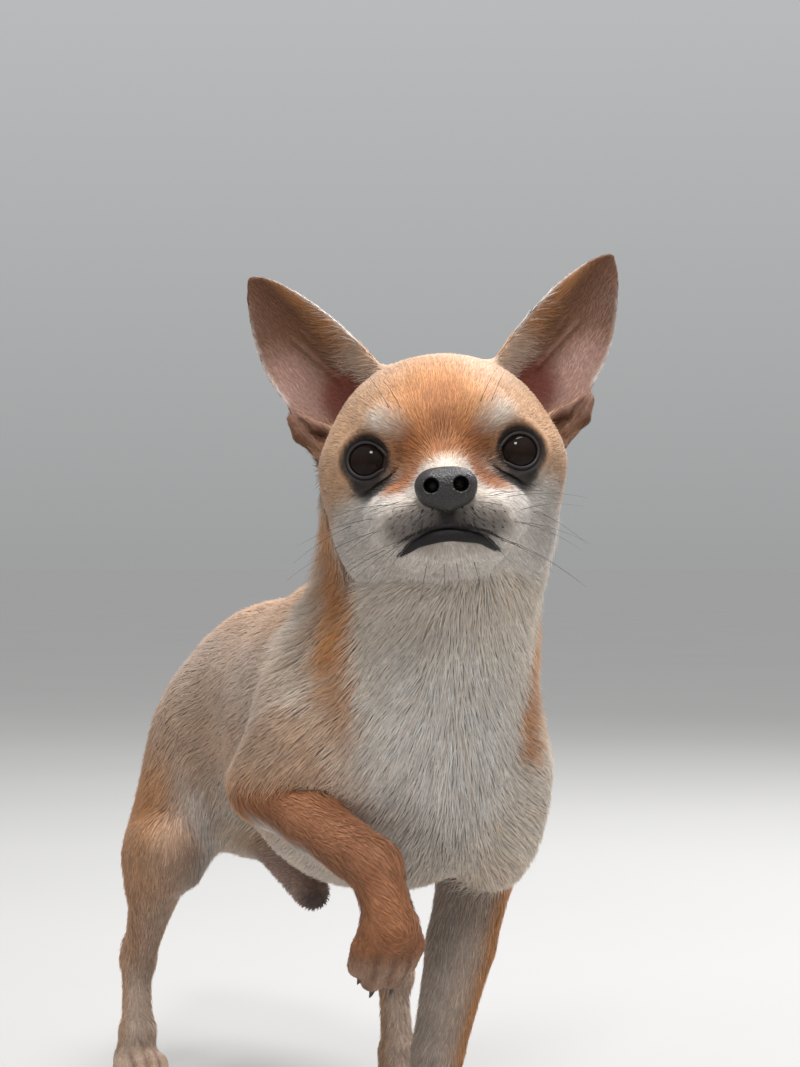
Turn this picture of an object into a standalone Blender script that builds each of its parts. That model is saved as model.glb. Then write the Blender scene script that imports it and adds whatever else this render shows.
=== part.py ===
"""A life-size smooth-coated chihuahua, walking with its right forepaw raised and its head turned.

The dog faces -Y with its left side at +X and +Z up. Sizes are written in millimetres, and mm() makes them metres.
Rounded forms are blended into one body, which thin cuts then part into the pieces a person would name.
"""

import math

import bmesh
import bpy
import numpy as np
from mathutils import Matrix, Vector

# Driving sizes, in millimetres
EYE_RADIUS = 8.6
EYE_SPREAD = 24.2
EYE_DEPTH = 4.0
LID_THICKNESS = 1.7
GAP = 0.35

# Where the middle of the dog's box lies before it is set over the origin
BOX_MIDDLE = (7.0, -17.6)

# The head turns to the dog's right, tips up, and its left side is held higher
HEAD_AT = (-7.5, -140, 253)
HEAD_YAW = -24
HEAD_PITCH = -7.5
HEAD_ROLL = -3.6

# How finely each piece is meshed, and the triangles it keeps
HEAD_VOXEL = 1.2
BODY_VOXEL = 2.3
LIMB_VOXEL = 1.6
NOSE_VOXEL = 0.8
HEAD_TRIANGLES = 4000
BODY_TRIANGLES = 4700
LIMB_TRIANGLES = 800
NOSE_TRIANGLES = 330
CREASE = math.radians(55)

# Colour as linear red, green and blue, then roughness
COATS = {
    "tan": ((0.50, 0.25, 0.12), 0.85),
    "fawn": ((0.58, 0.36, 0.24), 0.85),
    "cream": ((0.62, 0.52, 0.42), 0.85),
    "rust": ((0.36, 0.14, 0.05), 0.85),
    "ear": ((0.34, 0.16, 0.10), 0.7),
    "eye": ((0.012, 0.008, 0.006), 0.05),
    "nose": ((0.025, 0.022, 0.025), 0.4),
}


def mm(*values):
    """Millimetres as metres: one number, or an array of several."""
    return values[0] / 1000 if len(values) == 1 else np.array(values, float) / 1000


def turn(x=0, y=0, z=0):
    """Rotation by degrees about Y, then X, then Z."""
    rx, ry, rz = (np.array(Matrix.Rotation(math.radians(a), 3, n)) for a, n in ((x, "X"), (y, "Y"), (z, "Z")))
    return rz @ rx @ ry


HEAD_TURN = turn(HEAD_PITCH, HEAD_ROLL, HEAD_YAW)


def in_head(x, y, z):
    """A point of the head's own frame, whose origin is midway between the eyes, in the dog's frame."""
    return HEAD_TURN @ np.array((x, y, z), float) + np.array(HEAD_AT, float)


def frame_of(forward, up):
    """Rotation whose columns are outward, forward and up, each square to the others."""
    forward = np.array(forward, float) / np.linalg.norm(forward)
    up = np.array(up, float) - forward * (forward @ np.array(up, float))
    up /= np.linalg.norm(up)
    return np.stack([np.cross(forward, up), forward, up], axis=1)


class Ball:
    """An ellipsoid."""

    def __init__(self, centre, radii, rotation=None, blend=12, carve=False):
        self.centre, self.radii = mm(*centre), mm(*radii)
        self.rotation = np.eye(3) if rotation is None else rotation
        self.blend, self.carve = mm(blend), carve

    def distance(self, points):
        local = (points - self.centre) @ self.rotation
        near = np.sqrt(((local / self.radii) ** 2).sum(axis=1))
        slope = np.sqrt(((local / self.radii**2) ** 2).sum(axis=1))
        return near * (near - 1) / np.maximum(slope, 1e-9)

    def add_to(self, mesh):
        matrix = Matrix.Translation(self.centre) @ Matrix(self.rotation).to_4x4() @ Matrix.Diagonal((*self.radii, 1))
        bmesh.ops.create_uvsphere(mesh, u_segments=20, v_segments=12, radius=1, matrix=matrix)


class Limb:
    """A round bar that tapers from one end to the other, thinned along one direction by flat."""

    def __init__(self, start, end, start_radius, end_radius, blend=12, flat=1.0, across=(1, 0, 0), carve=False):
        self.start, self.end = mm(*start), mm(*end)
        self.radii = mm(start_radius), mm(end_radius)
        self.blend, self.flat, self.carve = mm(blend), flat, carve
        along = self.end - self.start
        across = np.array(across, float)
        across = across - along * (across @ along) / (along @ along)
        self.across = across / np.linalg.norm(across)

    def distance(self, points):
        along = self.end - self.start
        share = np.clip((points - self.start) @ along / (along @ along), 0, 1)
        off = points - self.start - share[:, None] * along
        off += np.outer(off @ self.across, self.across) * (1 / self.flat - 1)
        radius = self.radii[0] + (self.radii[1] - self.radii[0]) * share
        return (np.sqrt((off**2).sum(axis=1)) - radius) * (0.5 + 0.5 * self.flat)

    def add_to(self, mesh, segments=18):
        squeeze = Matrix.Scale(self.flat, 4, Vector(self.across))
        along = Vector(self.end - self.start)
        for centre, radius in zip((self.start, self.end), self.radii):
            bmesh.ops.create_uvsphere(
                mesh, u_segments=segments, v_segments=12, radius=radius, matrix=Matrix.Translation(centre) @ squeeze
            )
        middle = Matrix.Translation((self.start + self.end) / 2)
        bmesh.ops.create_cone(
            mesh, cap_ends=True, segments=segments, radius1=self.radii[0], radius2=self.radii[1],
            depth=along.length, matrix=middle @ squeeze @ along.to_track_quat("Z", "Y").to_matrix().to_4x4(),
        )


# The ear's outline and cup, in millimetres along its own axes
EAR_HEIGHT = 66
EAR_ROOT = -14
EAR_HALF_WIDTH = 19.5
EAR_THICKNESS = 2.4
EAR_CURL = 12
EAR_LEAN = 3
EAR_SWAY = 1
EAR_WAIST = 0.11
EAR_WAIST_AT = 15
EAR_WAIST_SPAN = 12


class Ear:
    """A cupped leaf: x runs across it to its outer edge, y backwards through it and z up to its tip."""

    def __init__(self, side, blend=5):
        self.side, self.blend, self.carve = side, mm(blend), False
        up = np.array((side * 0.565, 0.10, 0.82))
        up /= np.linalg.norm(up)
        back = np.array((-side * 0.30, 0.95, 0.0))
        back -= up * (back @ up)
        back /= np.linalg.norm(back)
        out = np.cross(back, up) * side
        self.axes = HEAD_TURN @ np.stack([out, back, up], axis=1)
        self.root = mm(*in_head(side * 31 + 0.6, 33, 23))

    @staticmethod
    def half_width(z, outer=0.0):
        """Half the width at height z. The outer edge, where outer is 1, is waisted above its root."""
        above = np.clip(z / EAR_HEIGHT, 0, 1)
        below = np.clip(z / EAR_ROOT, 0, 1)
        waist = 1 - outer * EAR_WAIST * np.exp(-(((z - EAR_WAIST_AT) / EAR_WAIST_SPAN) ** 2))
        return EAR_HALF_WIDTH * np.maximum(1 - above**2, 0) ** 0.74 * (1 - 0.25 * below**2) * waist

    @staticmethod
    def sway(z):
        """How far the middle of the ear bends inwards at height z."""
        return EAR_SWAY * np.clip(z / EAR_HEIGHT, 0, 1) ** 2

    @staticmethod
    def depth(x, z):
        """How far back the middle of the sheet lies."""
        width = np.maximum(Ear.half_width(z), 4)
        rise = np.clip(1 - z / EAR_HEIGHT, 0, 1.3)
        return 6 - EAR_CURL * rise * (x / width) ** 2 + EAR_LEAN * (z / EAR_HEIGHT) ** 2

    def distance(self, points):
        x, y, z = ((points - self.root) @ self.axes).T * 1000
        rise = np.clip(1 - z / EAR_HEIGHT, 0, 1.3)
        x = x + self.sway(z)
        slope = 2 * EAR_CURL * rise * np.abs(x) / np.maximum(self.half_width(z), 4) ** 2
        sheet = np.abs(y - self.depth(x, z)) / np.sqrt(1 + slope**2) - EAR_THICKNESS / 2
        edge = (np.abs(x) - self.half_width(z, x > 0)) * 0.85
        rim = np.maximum(edge, np.maximum(EAR_ROOT - z, z - EAR_HEIGHT))
        return -merge(-sheet, -rim, 1.6) / 1000

    def add_to(self, mesh, across=10, along=14):
        """A grid bent to the leaf, and given its thickness."""
        verts = bmesh.ops.create_grid(mesh, x_segments=across, y_segments=along, size=1)["verts"]
        for vert in verts:
            z = EAR_ROOT + (EAR_HEIGHT - 0.2 - EAR_ROOT) * (vert.co.y + 1) / 2
            x = vert.co.x * float(self.half_width(z, vert.co.x > 0))
            y = float(self.depth(x, z)) - EAR_THICKNESS / 2
            vert.co = self.root + self.axes @ mm(x, y, z)
        faces = list({face for vert in verts for face in vert.link_faces})
        bmesh.ops.recalc_face_normals(mesh, faces=faces)
        outward = sum((f.normal for f in faces), Vector()).dot(Vector(self.axes[:, 1]))
        bmesh.ops.solidify(mesh, geom=faces, thickness=-math.copysign(mm(EAR_THICKNESS), outward))
        bmesh.ops.recalc_face_normals(mesh, faces=mesh.faces)


def merge(a, b, k):
    """Smooth union of two distances, rounded over a band of k."""
    h = np.maximum(k - np.abs(a - b), 0) / max(k, 1e-9)
    return np.minimum(a, b) - h**3 * k / 6


def blend_of(forms, points):
    """The distance from points to all the forms, blended in order."""
    total = np.full(len(points), 1.0)
    for form in forms:
        here = form.distance(points)
        total = -merge(-total, here, form.blend) if form.carve else merge(total, here, form.blend)
    return total


def body_distance(groups, points):
    """The distance from points to every group of forms, each group joined to the rest with its own blend."""
    total = np.full(len(points), 1.0)
    for forms, join in groups:
        total = merge(total, blend_of(forms, points), mm(join))
    return total


# Points are settled cell by cell, each against the forms that reach its cell
CELL = mm(18)
REACH_BEYOND = mm(12)
PROBE = 1e-5


def nearby(groups, centre):
    """The groups, each with only the forms that reach the cell round centre."""
    near = []
    for forms, join in groups:
        kept = [f for f in forms if f.distance(centre[None])[0] < f.blend + CELL + REACH_BEYOND]
        if kept:
            near.append((kept, join))
    return near


def settle(points, groups, rounds=4, most=mm(2.5), level=0.0):
    """Moves points along the slope of the blended distance, until they lie level beyond the surface."""
    keys, member = np.unique(np.floor(points / CELL).astype(int), axis=0, return_inverse=True)
    member = member.ravel()
    order = np.argsort(member, kind="stable")
    starts = np.searchsorted(member[order], np.arange(len(keys) + 1))
    probes = np.vstack([np.zeros(3), np.eye(3) * PROBE])
    moved = points.copy()
    for i, key in enumerate(keys):
        mine = order[starts[i]:starts[i + 1]]
        near = nearby(groups, (key + 0.5) * CELL)
        here = moved[mine]
        for _ in range(rounds):
            values = body_distance(near, (here[None] + probes[:, None]).reshape(-1, 3)).reshape(4, -1)
            slope = (values[1:] - values[0]).T / PROBE
            steep = np.maximum((slope**2).sum(axis=1), 0.05)
            step = slope * ((values[0] - level) / steep)[:, None]
            length = np.maximum(np.sqrt((step**2).sum(axis=1)), 1e-12)
            here = here - step * np.minimum(1, most / length)[:, None]
        moved[mine] = here
    return moved


def both(make):
    """The forms that make() gives for the dog's left side and for its right side."""
    return make(1) + make(-1)


def torso_forms():
    return [
        Ball((0, -40, 154), (42, 76, 57)),
        Ball((1, -84, 148), (38, 37, 46), blend=20),
        Ball((0, 30, 158), (33, 62, 45), blend=30),
        Ball((0, 68, 157), (25, 38, 37), blend=24),
        Ball((0, -54, 188), (18, 46, 26), blend=24),
        *both(lambda s: [Ball((s * 17, 72, 142), (18, 33, 30), blend=22)]),
        Ball((36, -80, 142), (21, 28, 44), turn(x=-14), blend=20),
        Ball((-30, -78, 154), (20, 26, 38), turn(x=-14), blend=20),
        Ball((-2, 68, 122), (24, 28, 26), blend=20),
        Limb((-1, 52, 109), (1, 4, 89), 11, 7.8, blend=16),
    ]


def neck_forms():
    return [
        Limb((10, -70, 174), (9, -98, 232), 35, 42, blend=24, flat=0.84, across=(0.36, 0.93, 0)),
        Limb((3, -92, 160), (7, -114, 208), 36, 29, blend=24),
        Ball((29, -86, 187), (21, 26, 30), blend=16),
        Ball((-18, -84, 178), (19, 26, 26), blend=16),
    ]


def head_forms():
    def ball(centre, radii, rotation=None, **more):
        spin = HEAD_TURN if rotation is None else HEAD_TURN @ rotation
        return Ball(in_head(*centre), radii, spin, **more)

    def limb(start, end, *radii, across=(1, 0, 0), **more):
        return Limb(in_head(*start), in_head(*end), *radii, across=HEAD_TURN @ np.array(across), **more)

    return [
        ball((0, 26, 10), (37, 36, 30)),
        *both(lambda s: [
            ball((s * 26, 17, -1), (16, 19, 17), blend=14),
            ball((s * 20, 22, -18), (17, 21, 19), blend=14),
        ]),
        ball((0, 24, -24), (24, 28, 19), blend=14),
        limb((0, 4, -17), (0, -20, -21), 19.5, 12.5, flat=0.82, across=(0, 0, 1), blend=14),
        limb((0, 0, -5), (0, -24, -13), 10, 7.5, blend=10),
        limb((0, 10, -28), (0, -13, -32), 16, 8.5, flat=0.72, across=(0, 0, 1), blend=6),
        *both(lambda s: [
            ball((s * 8.5, -6, -33.5), (9, 14, 5.4), turn(z=s * 14), blend=6),
            ball((s * 9.5, -16.5, -24.5), (11.5, 14, 8.8), turn(z=s * 14), blend=6),
            limb((s * 4, -26.5, -28), (s * 17.5, -15, -29.5), 3.6, 4.2, blend=5),
            ball((s * 16, -2, -21), (10.5, 16, 11), turn(z=s * 10), blend=14),
            ball((s * 15.5, -2, 12.5), (11, 8, 7), turn(y=s * 16), blend=12),
        ]),
    ]


def eye_at(side):
    return in_head(side * EYE_SPREAD, EYE_DEPTH, 0)


def gaze_of(side):
    """Rotation whose Y axis points out of the back of that eye."""
    return HEAD_TURN @ turn(z=side * 14)


def lid_forms(side):
    lids = EYE_RADIUS + LID_THICKNESS
    return [Ball(eye_at(side), (lids, lids, lids), blend=6)]


def lid_opening(side):
    """The almond between the lids."""
    gaze = gaze_of(side)
    return Ball(eye_at(side) - gaze[:, 1] * (EYE_RADIUS + 1), (8.4, 5.2, 7.4), gaze)


# The line of the mouth on the dog's left, from under the nose to its corner, in the head's frame
MOUTH = [(0, -32, -31.4), (7, -30.5, -31.7), (13, -26, -32.5), (18, -17, -33.4), (21.5, -8, -33.6)]
LIP_GROOVE = 1.7
LIP_LIFT = 0.5
LIP_CLEFT = 0.9


def mouth_forms():
    """Grooves along the mouth and up to the nose, their courses laid on the face."""
    face = [(head_forms(), 0)]
    cuts = []
    for side in (1, -1):
        course = np.array([mm(*in_head(side * x, y, z)) for x, y, z in MOUTH])
        course = settle(course, face, rounds=8, level=mm(LIP_LIFT)) * 1000
        for start, end in zip(course, course[1:]):
            cuts.append(Limb(start, end, LIP_GROOVE, LIP_GROOVE, blend=1.5, carve=True))
    cleft = settle(np.array([mm(*in_head(0, -33, -22)), mm(*in_head(0, -33, -30))]), face, rounds=8) * 1000
    cuts.append(Limb(cleft[0], cleft[1], LIP_CLEFT, LIP_CLEFT, blend=1, carve=True))
    return cuts


def nose_forms():
    return [
        Ball(in_head(0, -30, -14.2), (9.6, 6.2, 5.6), HEAD_TURN),
        *both(lambda s: [Ball(in_head(s * 4.8, -31.8, -16), (4.9, 4.8, 5.8), HEAD_TURN, blend=4)]),
        Ball(in_head(0, -31.2, -19.6), (4.4, 4.2, 4.0), HEAD_TURN, blend=4),
    ]


def nostril_forms():
    return both(lambda s: [
        Limb(in_head(s * 5.2, -40, -15.2), in_head(s * 4.5, -31.5, -14.8), 2.9, 2.0),
        Limb(in_head(s * 6, -38.5, -17), in_head(s * 10, -35, -19), 1.0, 0.9),
    ])


def ear_canal(side):
    ear = Ear(side)
    return Ball(ear.root * 1000 + ear.axes @ np.array((-1, 0, 4)), (9, 6.5, 11), ear.axes, blend=5, carve=True)


# The joints of the legs
LEFT_FORE = {"shoulder": (44, -90, 144), "elbow": (41, -64, 108), "wrist": (19, -76, 41), "foot": (11, -84, 0)}
RIGHT_FORE = {"shoulder": (-40, -92, 156), "elbow": (-47, -75, 138), "wrist": (-30, -135, 117), "foot": (-28, -134, 98)}
RIGHT_HIND = {"hip": (-23, 76, 156), "knee": (-41, 60, 104), "hock": (-38, 107, 50), "foot": (-41, 100, 0)}
LEFT_HIND = {"hip": (23, 76, 156), "knee": (35, 22, 114), "hock": (46, 27, 51), "foot": (41, 12, 0)}
STANDING = frame_of((0, -1, 0), (0, 0, 1))
HANGING = frame_of((0.03, 0.16, -1), (0, -1, -0.16))

# A paw in its own axes: outward, forward and up from the middle of its sole
SOLE_SINK = 0.7
TOES = [(-8.0, 4.5), (-3.5, 9.5), (3.5, 9.5), (8.0, 4.5)]
CLAW_RADIUS = 1.5
CLAW_TIP = 0.4


def paw_place(joints, axes):
    """A function from the paw's own axes to the dog's frame."""
    foot = np.array(joints["foot"], float)
    return lambda out, ahead, up: foot + axes @ np.array((out, ahead, up - SOLE_SINK), float)


def paw_forms(joints, axes, size=1.0):
    """A paw: the pastern down from the wrist, the pad, and four arched toes."""
    at = paw_place(joints, axes)
    forms = [
        Limb(joints["wrist"], at(0, -2, 12), 9.4 * size, 8.2 * size, blend=4),
        Ball(at(0, 2, 9), (9.6 * size, 11.5, 7.0), axes, blend=8),
        Ball(at(0, -2, 4.4), (7.6 * size, 6.6, 4.4), axes, blend=3),
    ]
    for out, ahead in TOES:
        knuckle, tip = at(out * size, ahead + 1, 8.8), at(out * size, ahead + 8, 4.6)
        forms.append(Limb(at(out * 0.6, ahead - 6, 10), knuckle, 4.8 * size, 4.9 * size, blend=4))
        forms.append(Limb(knuckle, tip, 4.9 * size, 4.5 * size, blend=2))
    return forms


def claws_of(joints, axes, size=1.0):
    """Four short cones, one out of each toe."""
    at = paw_place(joints, axes)
    mesh = bmesh.new()
    for out, ahead in TOES:
        root, tip = Vector(mm(*at(out * size, ahead + 10, 5.2))), Vector(mm(*at(out * size, ahead + 15, 2.4)))
        spin = (tip - root).to_track_quat("Z", "Y").to_matrix().to_4x4()
        bmesh.ops.create_cone(
            mesh, cap_ends=True, segments=6, radius1=mm(CLAW_RADIUS), radius2=mm(CLAW_TIP),
            depth=(tip - root).length, matrix=Matrix.Translation((root + tip) / 2) @ spin,
        )
    return object_from("claws", mesh)


def foreleg_forms(joints, axes, elbow_radius=14.5, middle_radius=12.8):
    elbow, wrist = (np.array(joints[name], float) for name in ("elbow", "wrist"))
    middle = elbow + (wrist - elbow) * 0.45
    return [
        Limb(elbow, middle, elbow_radius, middle_radius, blend=10),
        Limb(middle, wrist, middle_radius, 9.8, blend=4),
        *paw_forms(joints, axes),
    ]


def upper_arm_forms(joints, side):
    shoulder, elbow = (np.array(joints[name], float) for name in ("shoulder", "elbow"))
    return [
        Limb(shoulder + (-side * 6, 6, 0), elbow + (-side * 1, 0, 2), 20, 14, blend=18, flat=0.85),
        Limb(shoulder + (-side * 12, 26, 2), elbow + (-side * 3, 6, 4), 17, 12, blend=18, flat=0.8),
    ]


def thigh_forms(joints, side):
    hip, knee = (np.array(joints[name], float) for name in ("hip", "knee"))
    return [
        Limb(hip + (-side * 3, -4, -8), knee + (-side * 3, 9, 2), 26, 16, blend=24, flat=0.7),
        Limb(hip + (-side * 1, 14, -20), knee + (-side * 1, 24, -4), 21, 15, blend=20, flat=0.7),
        Limb(hip + (-side * 2, -6, -34), knee + (-side * 10, 5, -11), 17, 9.5, blend=16, flat=0.8),
        Ball(knee, (11, 11, 12), blend=10),
    ]


def shank_forms(joints, axes):
    knee, hock, foot = (np.array(joints[name], float) for name in ("knee", "hock", "foot"))
    heel = hock + (0, 4, 6)
    calf = knee + (hock - knee) * 0.34 + (0, 7, 0)
    joints = {**joints, "wrist": hock + (foot - hock) * 0.6}
    return [
        Limb(knee, hock, 13, 7.4, blend=10, flat=0.85),
        Limb(knee + (0, 14, -2), calf, 14, 11.5, blend=12, flat=0.85),
        Limb(calf, heel, 9.5, 4.6, blend=10, flat=0.7),
        Ball(hock, (7.4, 8.2, 8.2), blend=6),
        Limb(heel, joints["wrist"], 6.0, 7.0, blend=6),
        *paw_forms(joints, axes, size=0.9),
    ]


# The tail's course, each point with its radius
TAIL = [(0, 90, 176, 14), (0, 112, 176, 11), (-3, 132, 158, 8.4), (-10, 134, 118, 6.8), (-17, 122, 83, 3.4)]
TAIL_STEPS = 4


def smooth_course(points, steps):
    """Points along a smooth curve through the given ones."""
    ends = [2 * np.array(points[0], float) - points[1], *points, 2 * np.array(points[-1], float) - points[-2]]
    a, b, c, d = (np.array(ends[i:len(ends) - 3 + i], float)[:, None] for i in range(4))
    t = np.linspace(0, 1, steps, endpoint=False)[None, :, None]
    course = 0.5 * (2 * b + (c - a) * t + (2 * a - 5 * b + 4 * c - d) * t**2 + (3 * b - a - 3 * c + d) * t**3)
    return [*course.reshape(-1, len(points[0])), np.array(points[-1], float)]


def tail_forms():
    course = smooth_course(TAIL, TAIL_STEPS)
    return [Limb(a[:3], b[:3], a[3], b[3], blend=1) for a, b in zip(course, course[1:])]


def trunk_groups():
    """Everything but the head, the tail and the raised forearm."""
    return [
        ([*torso_forms(), *neck_forms(), *upper_arm_forms(LEFT_FORE, 1), *upper_arm_forms(RIGHT_FORE, -1),
          *thigh_forms(LEFT_HIND, 1), *thigh_forms(RIGHT_HIND, -1)], 10),
        (foreleg_forms(LEFT_FORE, STANDING), 8),
        (shank_forms(LEFT_HIND, STANDING), 7),
        (shank_forms(RIGHT_HIND, STANDING), 7),
    ]


def raised_leg_group():
    return foreleg_forms(RIGHT_FORE, HANGING, 11.5, 10.6), 5


def head_groups():
    return [([*head_forms(), *lid_forms(1), *lid_forms(-1), *mouth_forms(), ear_canal(1), ear_canal(-1)], 20)]


def linked(name, data):
    body = bpy.data.objects.new(name, data)
    bpy.context.scene.collection.objects.link(body)
    return body


def object_from(name, mesh):
    data = bpy.data.meshes.new(name)
    mesh.to_mesh(data)
    mesh.free()
    return linked(name, data)


def applied(body):
    """The object with its modifiers applied."""
    graph = bpy.context.evaluated_depsgraph_get()
    data = bpy.data.meshes.new_from_object(body.evaluated_get(graph))
    body.modifiers.clear()
    body.data = data
    return body


def points_of(body):
    points = np.empty(len(body.data.vertices) * 3)
    body.data.vertices.foreach_get("co", points)
    return points.reshape(-1, 3)


def settled(body, groups, level=0.0, rounds=4):
    points = settle(points_of(body), groups, level=level, rounds=rounds)
    body.data.vertices.foreach_set("co", points.ravel())
    body.data.update()
    return body


def solid_of(name, shapes):
    """One object of the shapes' own meshes, not yet joined."""
    whole = bmesh.new()
    for form in shapes:
        mesh = bmesh.new()
        form.add_to(mesh)
        data = bpy.data.meshes.new(name)
        mesh.to_mesh(data)
        mesh.free()
        whole.from_mesh(data)
        bpy.data.meshes.remove(data)
    return object_from(name, whole)


def formed(name, shapes, groups, voxel, triangles, level=0.0):
    """One closed mesh round the shapes, laid on the blended surface of the groups and made light."""
    body = solid_of(name, [form for form in shapes if not form.carve])
    remesh = body.modifiers.new("one skin", "REMESH")
    remesh.mode, remesh.voxel_size = "VOXEL", mm(voxel)
    smooth = body.modifiers.new("soften", "SMOOTH")
    smooth.factor, smooth.iterations = 0.5, 2
    settled(applied(body), groups, level)
    thin = body.modifiers.new("lighten", "DECIMATE")
    thin.ratio = min(1, triangles / (2 * len(body.data.polygons)))
    return applied(body)


def grown(body, width):
    """A copy of the object, grown by width along its normals."""
    copy = linked(body.name + "_grown", body.data.copy())
    swell = copy.modifiers.new("swell", "DISPLACE")
    swell.mid_level, swell.strength = 0, width
    return applied(copy)


def combine(body, other, operation="DIFFERENCE"):
    """Cuts the other object out of body, or joins it on, and removes it."""
    step = body.modifiers.new("combine", "BOOLEAN")
    step.operation, step.object, step.solver = operation, other, "EXACT"
    applied(body)
    bpy.data.objects.remove(other)
    return body


def pieces_of(body):
    """The closed pieces of an object, largest first, as lists of vertex numbers."""
    edges = np.empty(len(body.data.edges) * 2, int)
    body.data.edges.foreach_get("vertices", edges)
    edges = edges.reshape(-1, 2)
    label = np.arange(len(body.data.vertices))
    while True:
        low = np.minimum(label[edges[:, 0]], label[edges[:, 1]])
        new = label.copy()
        np.minimum.at(new, edges[:, 0], low)
        np.minimum.at(new, edges[:, 1], low)
        new = new[new]
        if (new == label).all():
            break
        label = new
    groups = [np.nonzero(label == value)[0] for value in np.unique(label)]
    return sorted(groups, key=len, reverse=True)


def kept(body, numbers, name):
    """A new object of only the numbered vertices of body."""
    mesh = bmesh.new()
    mesh.from_mesh(body.data)
    keep = set(numbers.tolist())
    bmesh.ops.delete(mesh, geom=[v for v in mesh.verts if v.index not in keep], context="VERTS")
    return object_from(name, mesh)


def parted(body, labels):
    """Splits body into its closed pieces, each named by the label point nearest to its middle."""
    points = points_of(body)
    groups = pieces_of(body)[:len(labels)]
    pieces = {}
    for group in groups:
        middle = points[group].mean(axis=0) * 1000
        name = min(labels, key=lambda n: np.linalg.norm(np.array(labels[n]) - middle))
        pieces[name] = kept(body, group, name)
    bpy.data.objects.remove(body)
    assert len(pieces) == len(labels), sorted(set(labels) - set(pieces))
    return pieces


def slab(mesh, centre, normal, width, height, thickness=GAP, lift=0.0):
    """A thin block square to normal, whose middle is lift above centre."""
    spin = Vector(normal).normalized().to_track_quat("Z", "Y").to_matrix().to_4x4()
    size = Matrix.Diagonal((mm(width), mm(height), mm(thickness), 1))
    place = Matrix.Translation(mm(*centre)) @ spin @ Matrix.Translation((0, 0, mm(lift)))
    bmesh.ops.create_cube(mesh, size=1, matrix=place @ size)


NECK_TOP = ((6, -100, 222), (0, -0.35, 0.94))
BLOCK = 160


def neck_block(above):
    """A block that fills one side of the plane between head and neck."""
    mesh = bmesh.new()
    lift = (BLOCK / 2 - GAP / 2) * (1 if above else -1)
    slab(mesh, *NECK_TOP, BLOCK, BLOCK, BLOCK, lift)
    return object_from("block", mesh)


def midway(a, b, share=0.5):
    return np.array(a, float) + (np.array(b, float) - np.array(a, float)) * share


def trunk_cuts():
    """The thin cuts that part the trunk, and the floor that flattens the soles."""
    mesh = bmesh.new()
    slab(mesh, (4, -80, 186), (0.05, -0.5, 0.86), 130, 130)
    slab(mesh, (39, -64, 111), (-0.45, 0, 0.89), 110, 62)
    slab(mesh, LEFT_FORE["wrist"] + np.array((0, 0, -3)), (0, 0, 1), 44, 44)
    for joints, side in ((LEFT_HIND, 1), (RIGHT_HIND, -1)):
        slab(mesh, (side * 32, 58, 115.5), (-side * 0.64, 0, 0.77), 138, 62)
        slab(mesh, joints["hock"] + np.array((0, 0, -5)), (0, 0, 1), 34, 34)
    slab(mesh, (0, 0, -20), (0, 0, 1), 400, 400, 40)
    return object_from("cuts", mesh)


def raised_cut():
    mesh = bmesh.new()
    slab(mesh, RIGHT_FORE["wrist"] + np.array((0, -1, -3)), (0.19, -0.49, -0.85), 46, 46)
    return object_from("cut", mesh)


def make_trunk():
    groups = trunk_groups()
    body = formed("trunk", [f for forms, _ in groups for f in forms], groups, BODY_VOXEL, BODY_TRIANGLES)
    return combine(body, neck_block(above=True))


def make_head():
    head = head_groups()
    shapes = [*head[0][0], *neck_forms()]
    body = formed("head", shapes, trunk_groups() + head, HEAD_VOXEL, HEAD_TRIANGLES)
    combine(body, neck_block(above=False))
    ears = []
    for side, name in ((1, "ear_left"), (-1, "ear_right")):
        ears.append(trimmed(solid_of(name, [Ear(side)]), body))
    for side in (1, -1):
        gap_ball = Ball(eye_at(side), [EYE_RADIUS + GAP] * 3)
        combine(body, solid_of("socket", [gap_ball]))
        combine(body, solid_of("opening", [lid_opening(side)]))
    cup = formed("cup", nose_forms(), [(nose_forms(), 0)], NOSE_VOXEL, NOSE_TRIANGLES, mm(GAP))
    combine(body, cup)
    return [largest(body), *ears]


def largest(body):
    name = body.name
    whole = kept(body, pieces_of(body)[0], name)
    bpy.data.objects.remove(body)
    whole.name = name
    return whole


def trimmed(body, neighbour):
    """The largest piece of body that is left outside its neighbour, a gap away."""
    return largest(combine(body, grown(neighbour, mm(GAP))))


def make_nose():
    nose = formed("nose", nose_forms(), [(nose_forms(), 0)], NOSE_VOXEL, NOSE_TRIANGLES)
    for form in nostril_forms():
        combine(nose, solid_of("nostril", [form]))
    return largest(nose)


def make_eye(side, name):
    return solid_of(name, [Ball(eye_at(side), [EYE_RADIUS] * 3)])


LABELS = {
    "torso": (0, 0, 150),
    "neck": (5, -95, 200),
    "foreleg_left": midway(LEFT_FORE["elbow"], LEFT_FORE["wrist"]),
    "forepaw_left": midway(LEFT_FORE["wrist"], LEFT_FORE["foot"]),
    "hindleg_left": midway(LEFT_HIND["knee"], LEFT_HIND["hock"], 0.3),
    "hindfoot_left": midway(LEFT_HIND["hock"], LEFT_HIND["foot"], 0.6),
    "hindleg_right": midway(RIGHT_HIND["knee"], RIGHT_HIND["hock"], 0.3),
    "hindfoot_right": midway(RIGHT_HIND["hock"], RIGHT_HIND["foot"], 0.6),
}
RAISED_LABELS = {
    "foreleg_right": midway(RIGHT_FORE["elbow"], RIGHT_FORE["wrist"], 0.6),
    "forepaw_right": RIGHT_FORE["foot"],
}
PAWS = {
    "forepaw_left": (LEFT_FORE, STANDING, 1.0),
    "forepaw_right": (RIGHT_FORE, HANGING, 1.0),
    "hindfoot_left": (LEFT_HIND, STANDING, 0.9),
    "hindfoot_right": (RIGHT_HIND, STANDING, 0.9),
}
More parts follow.
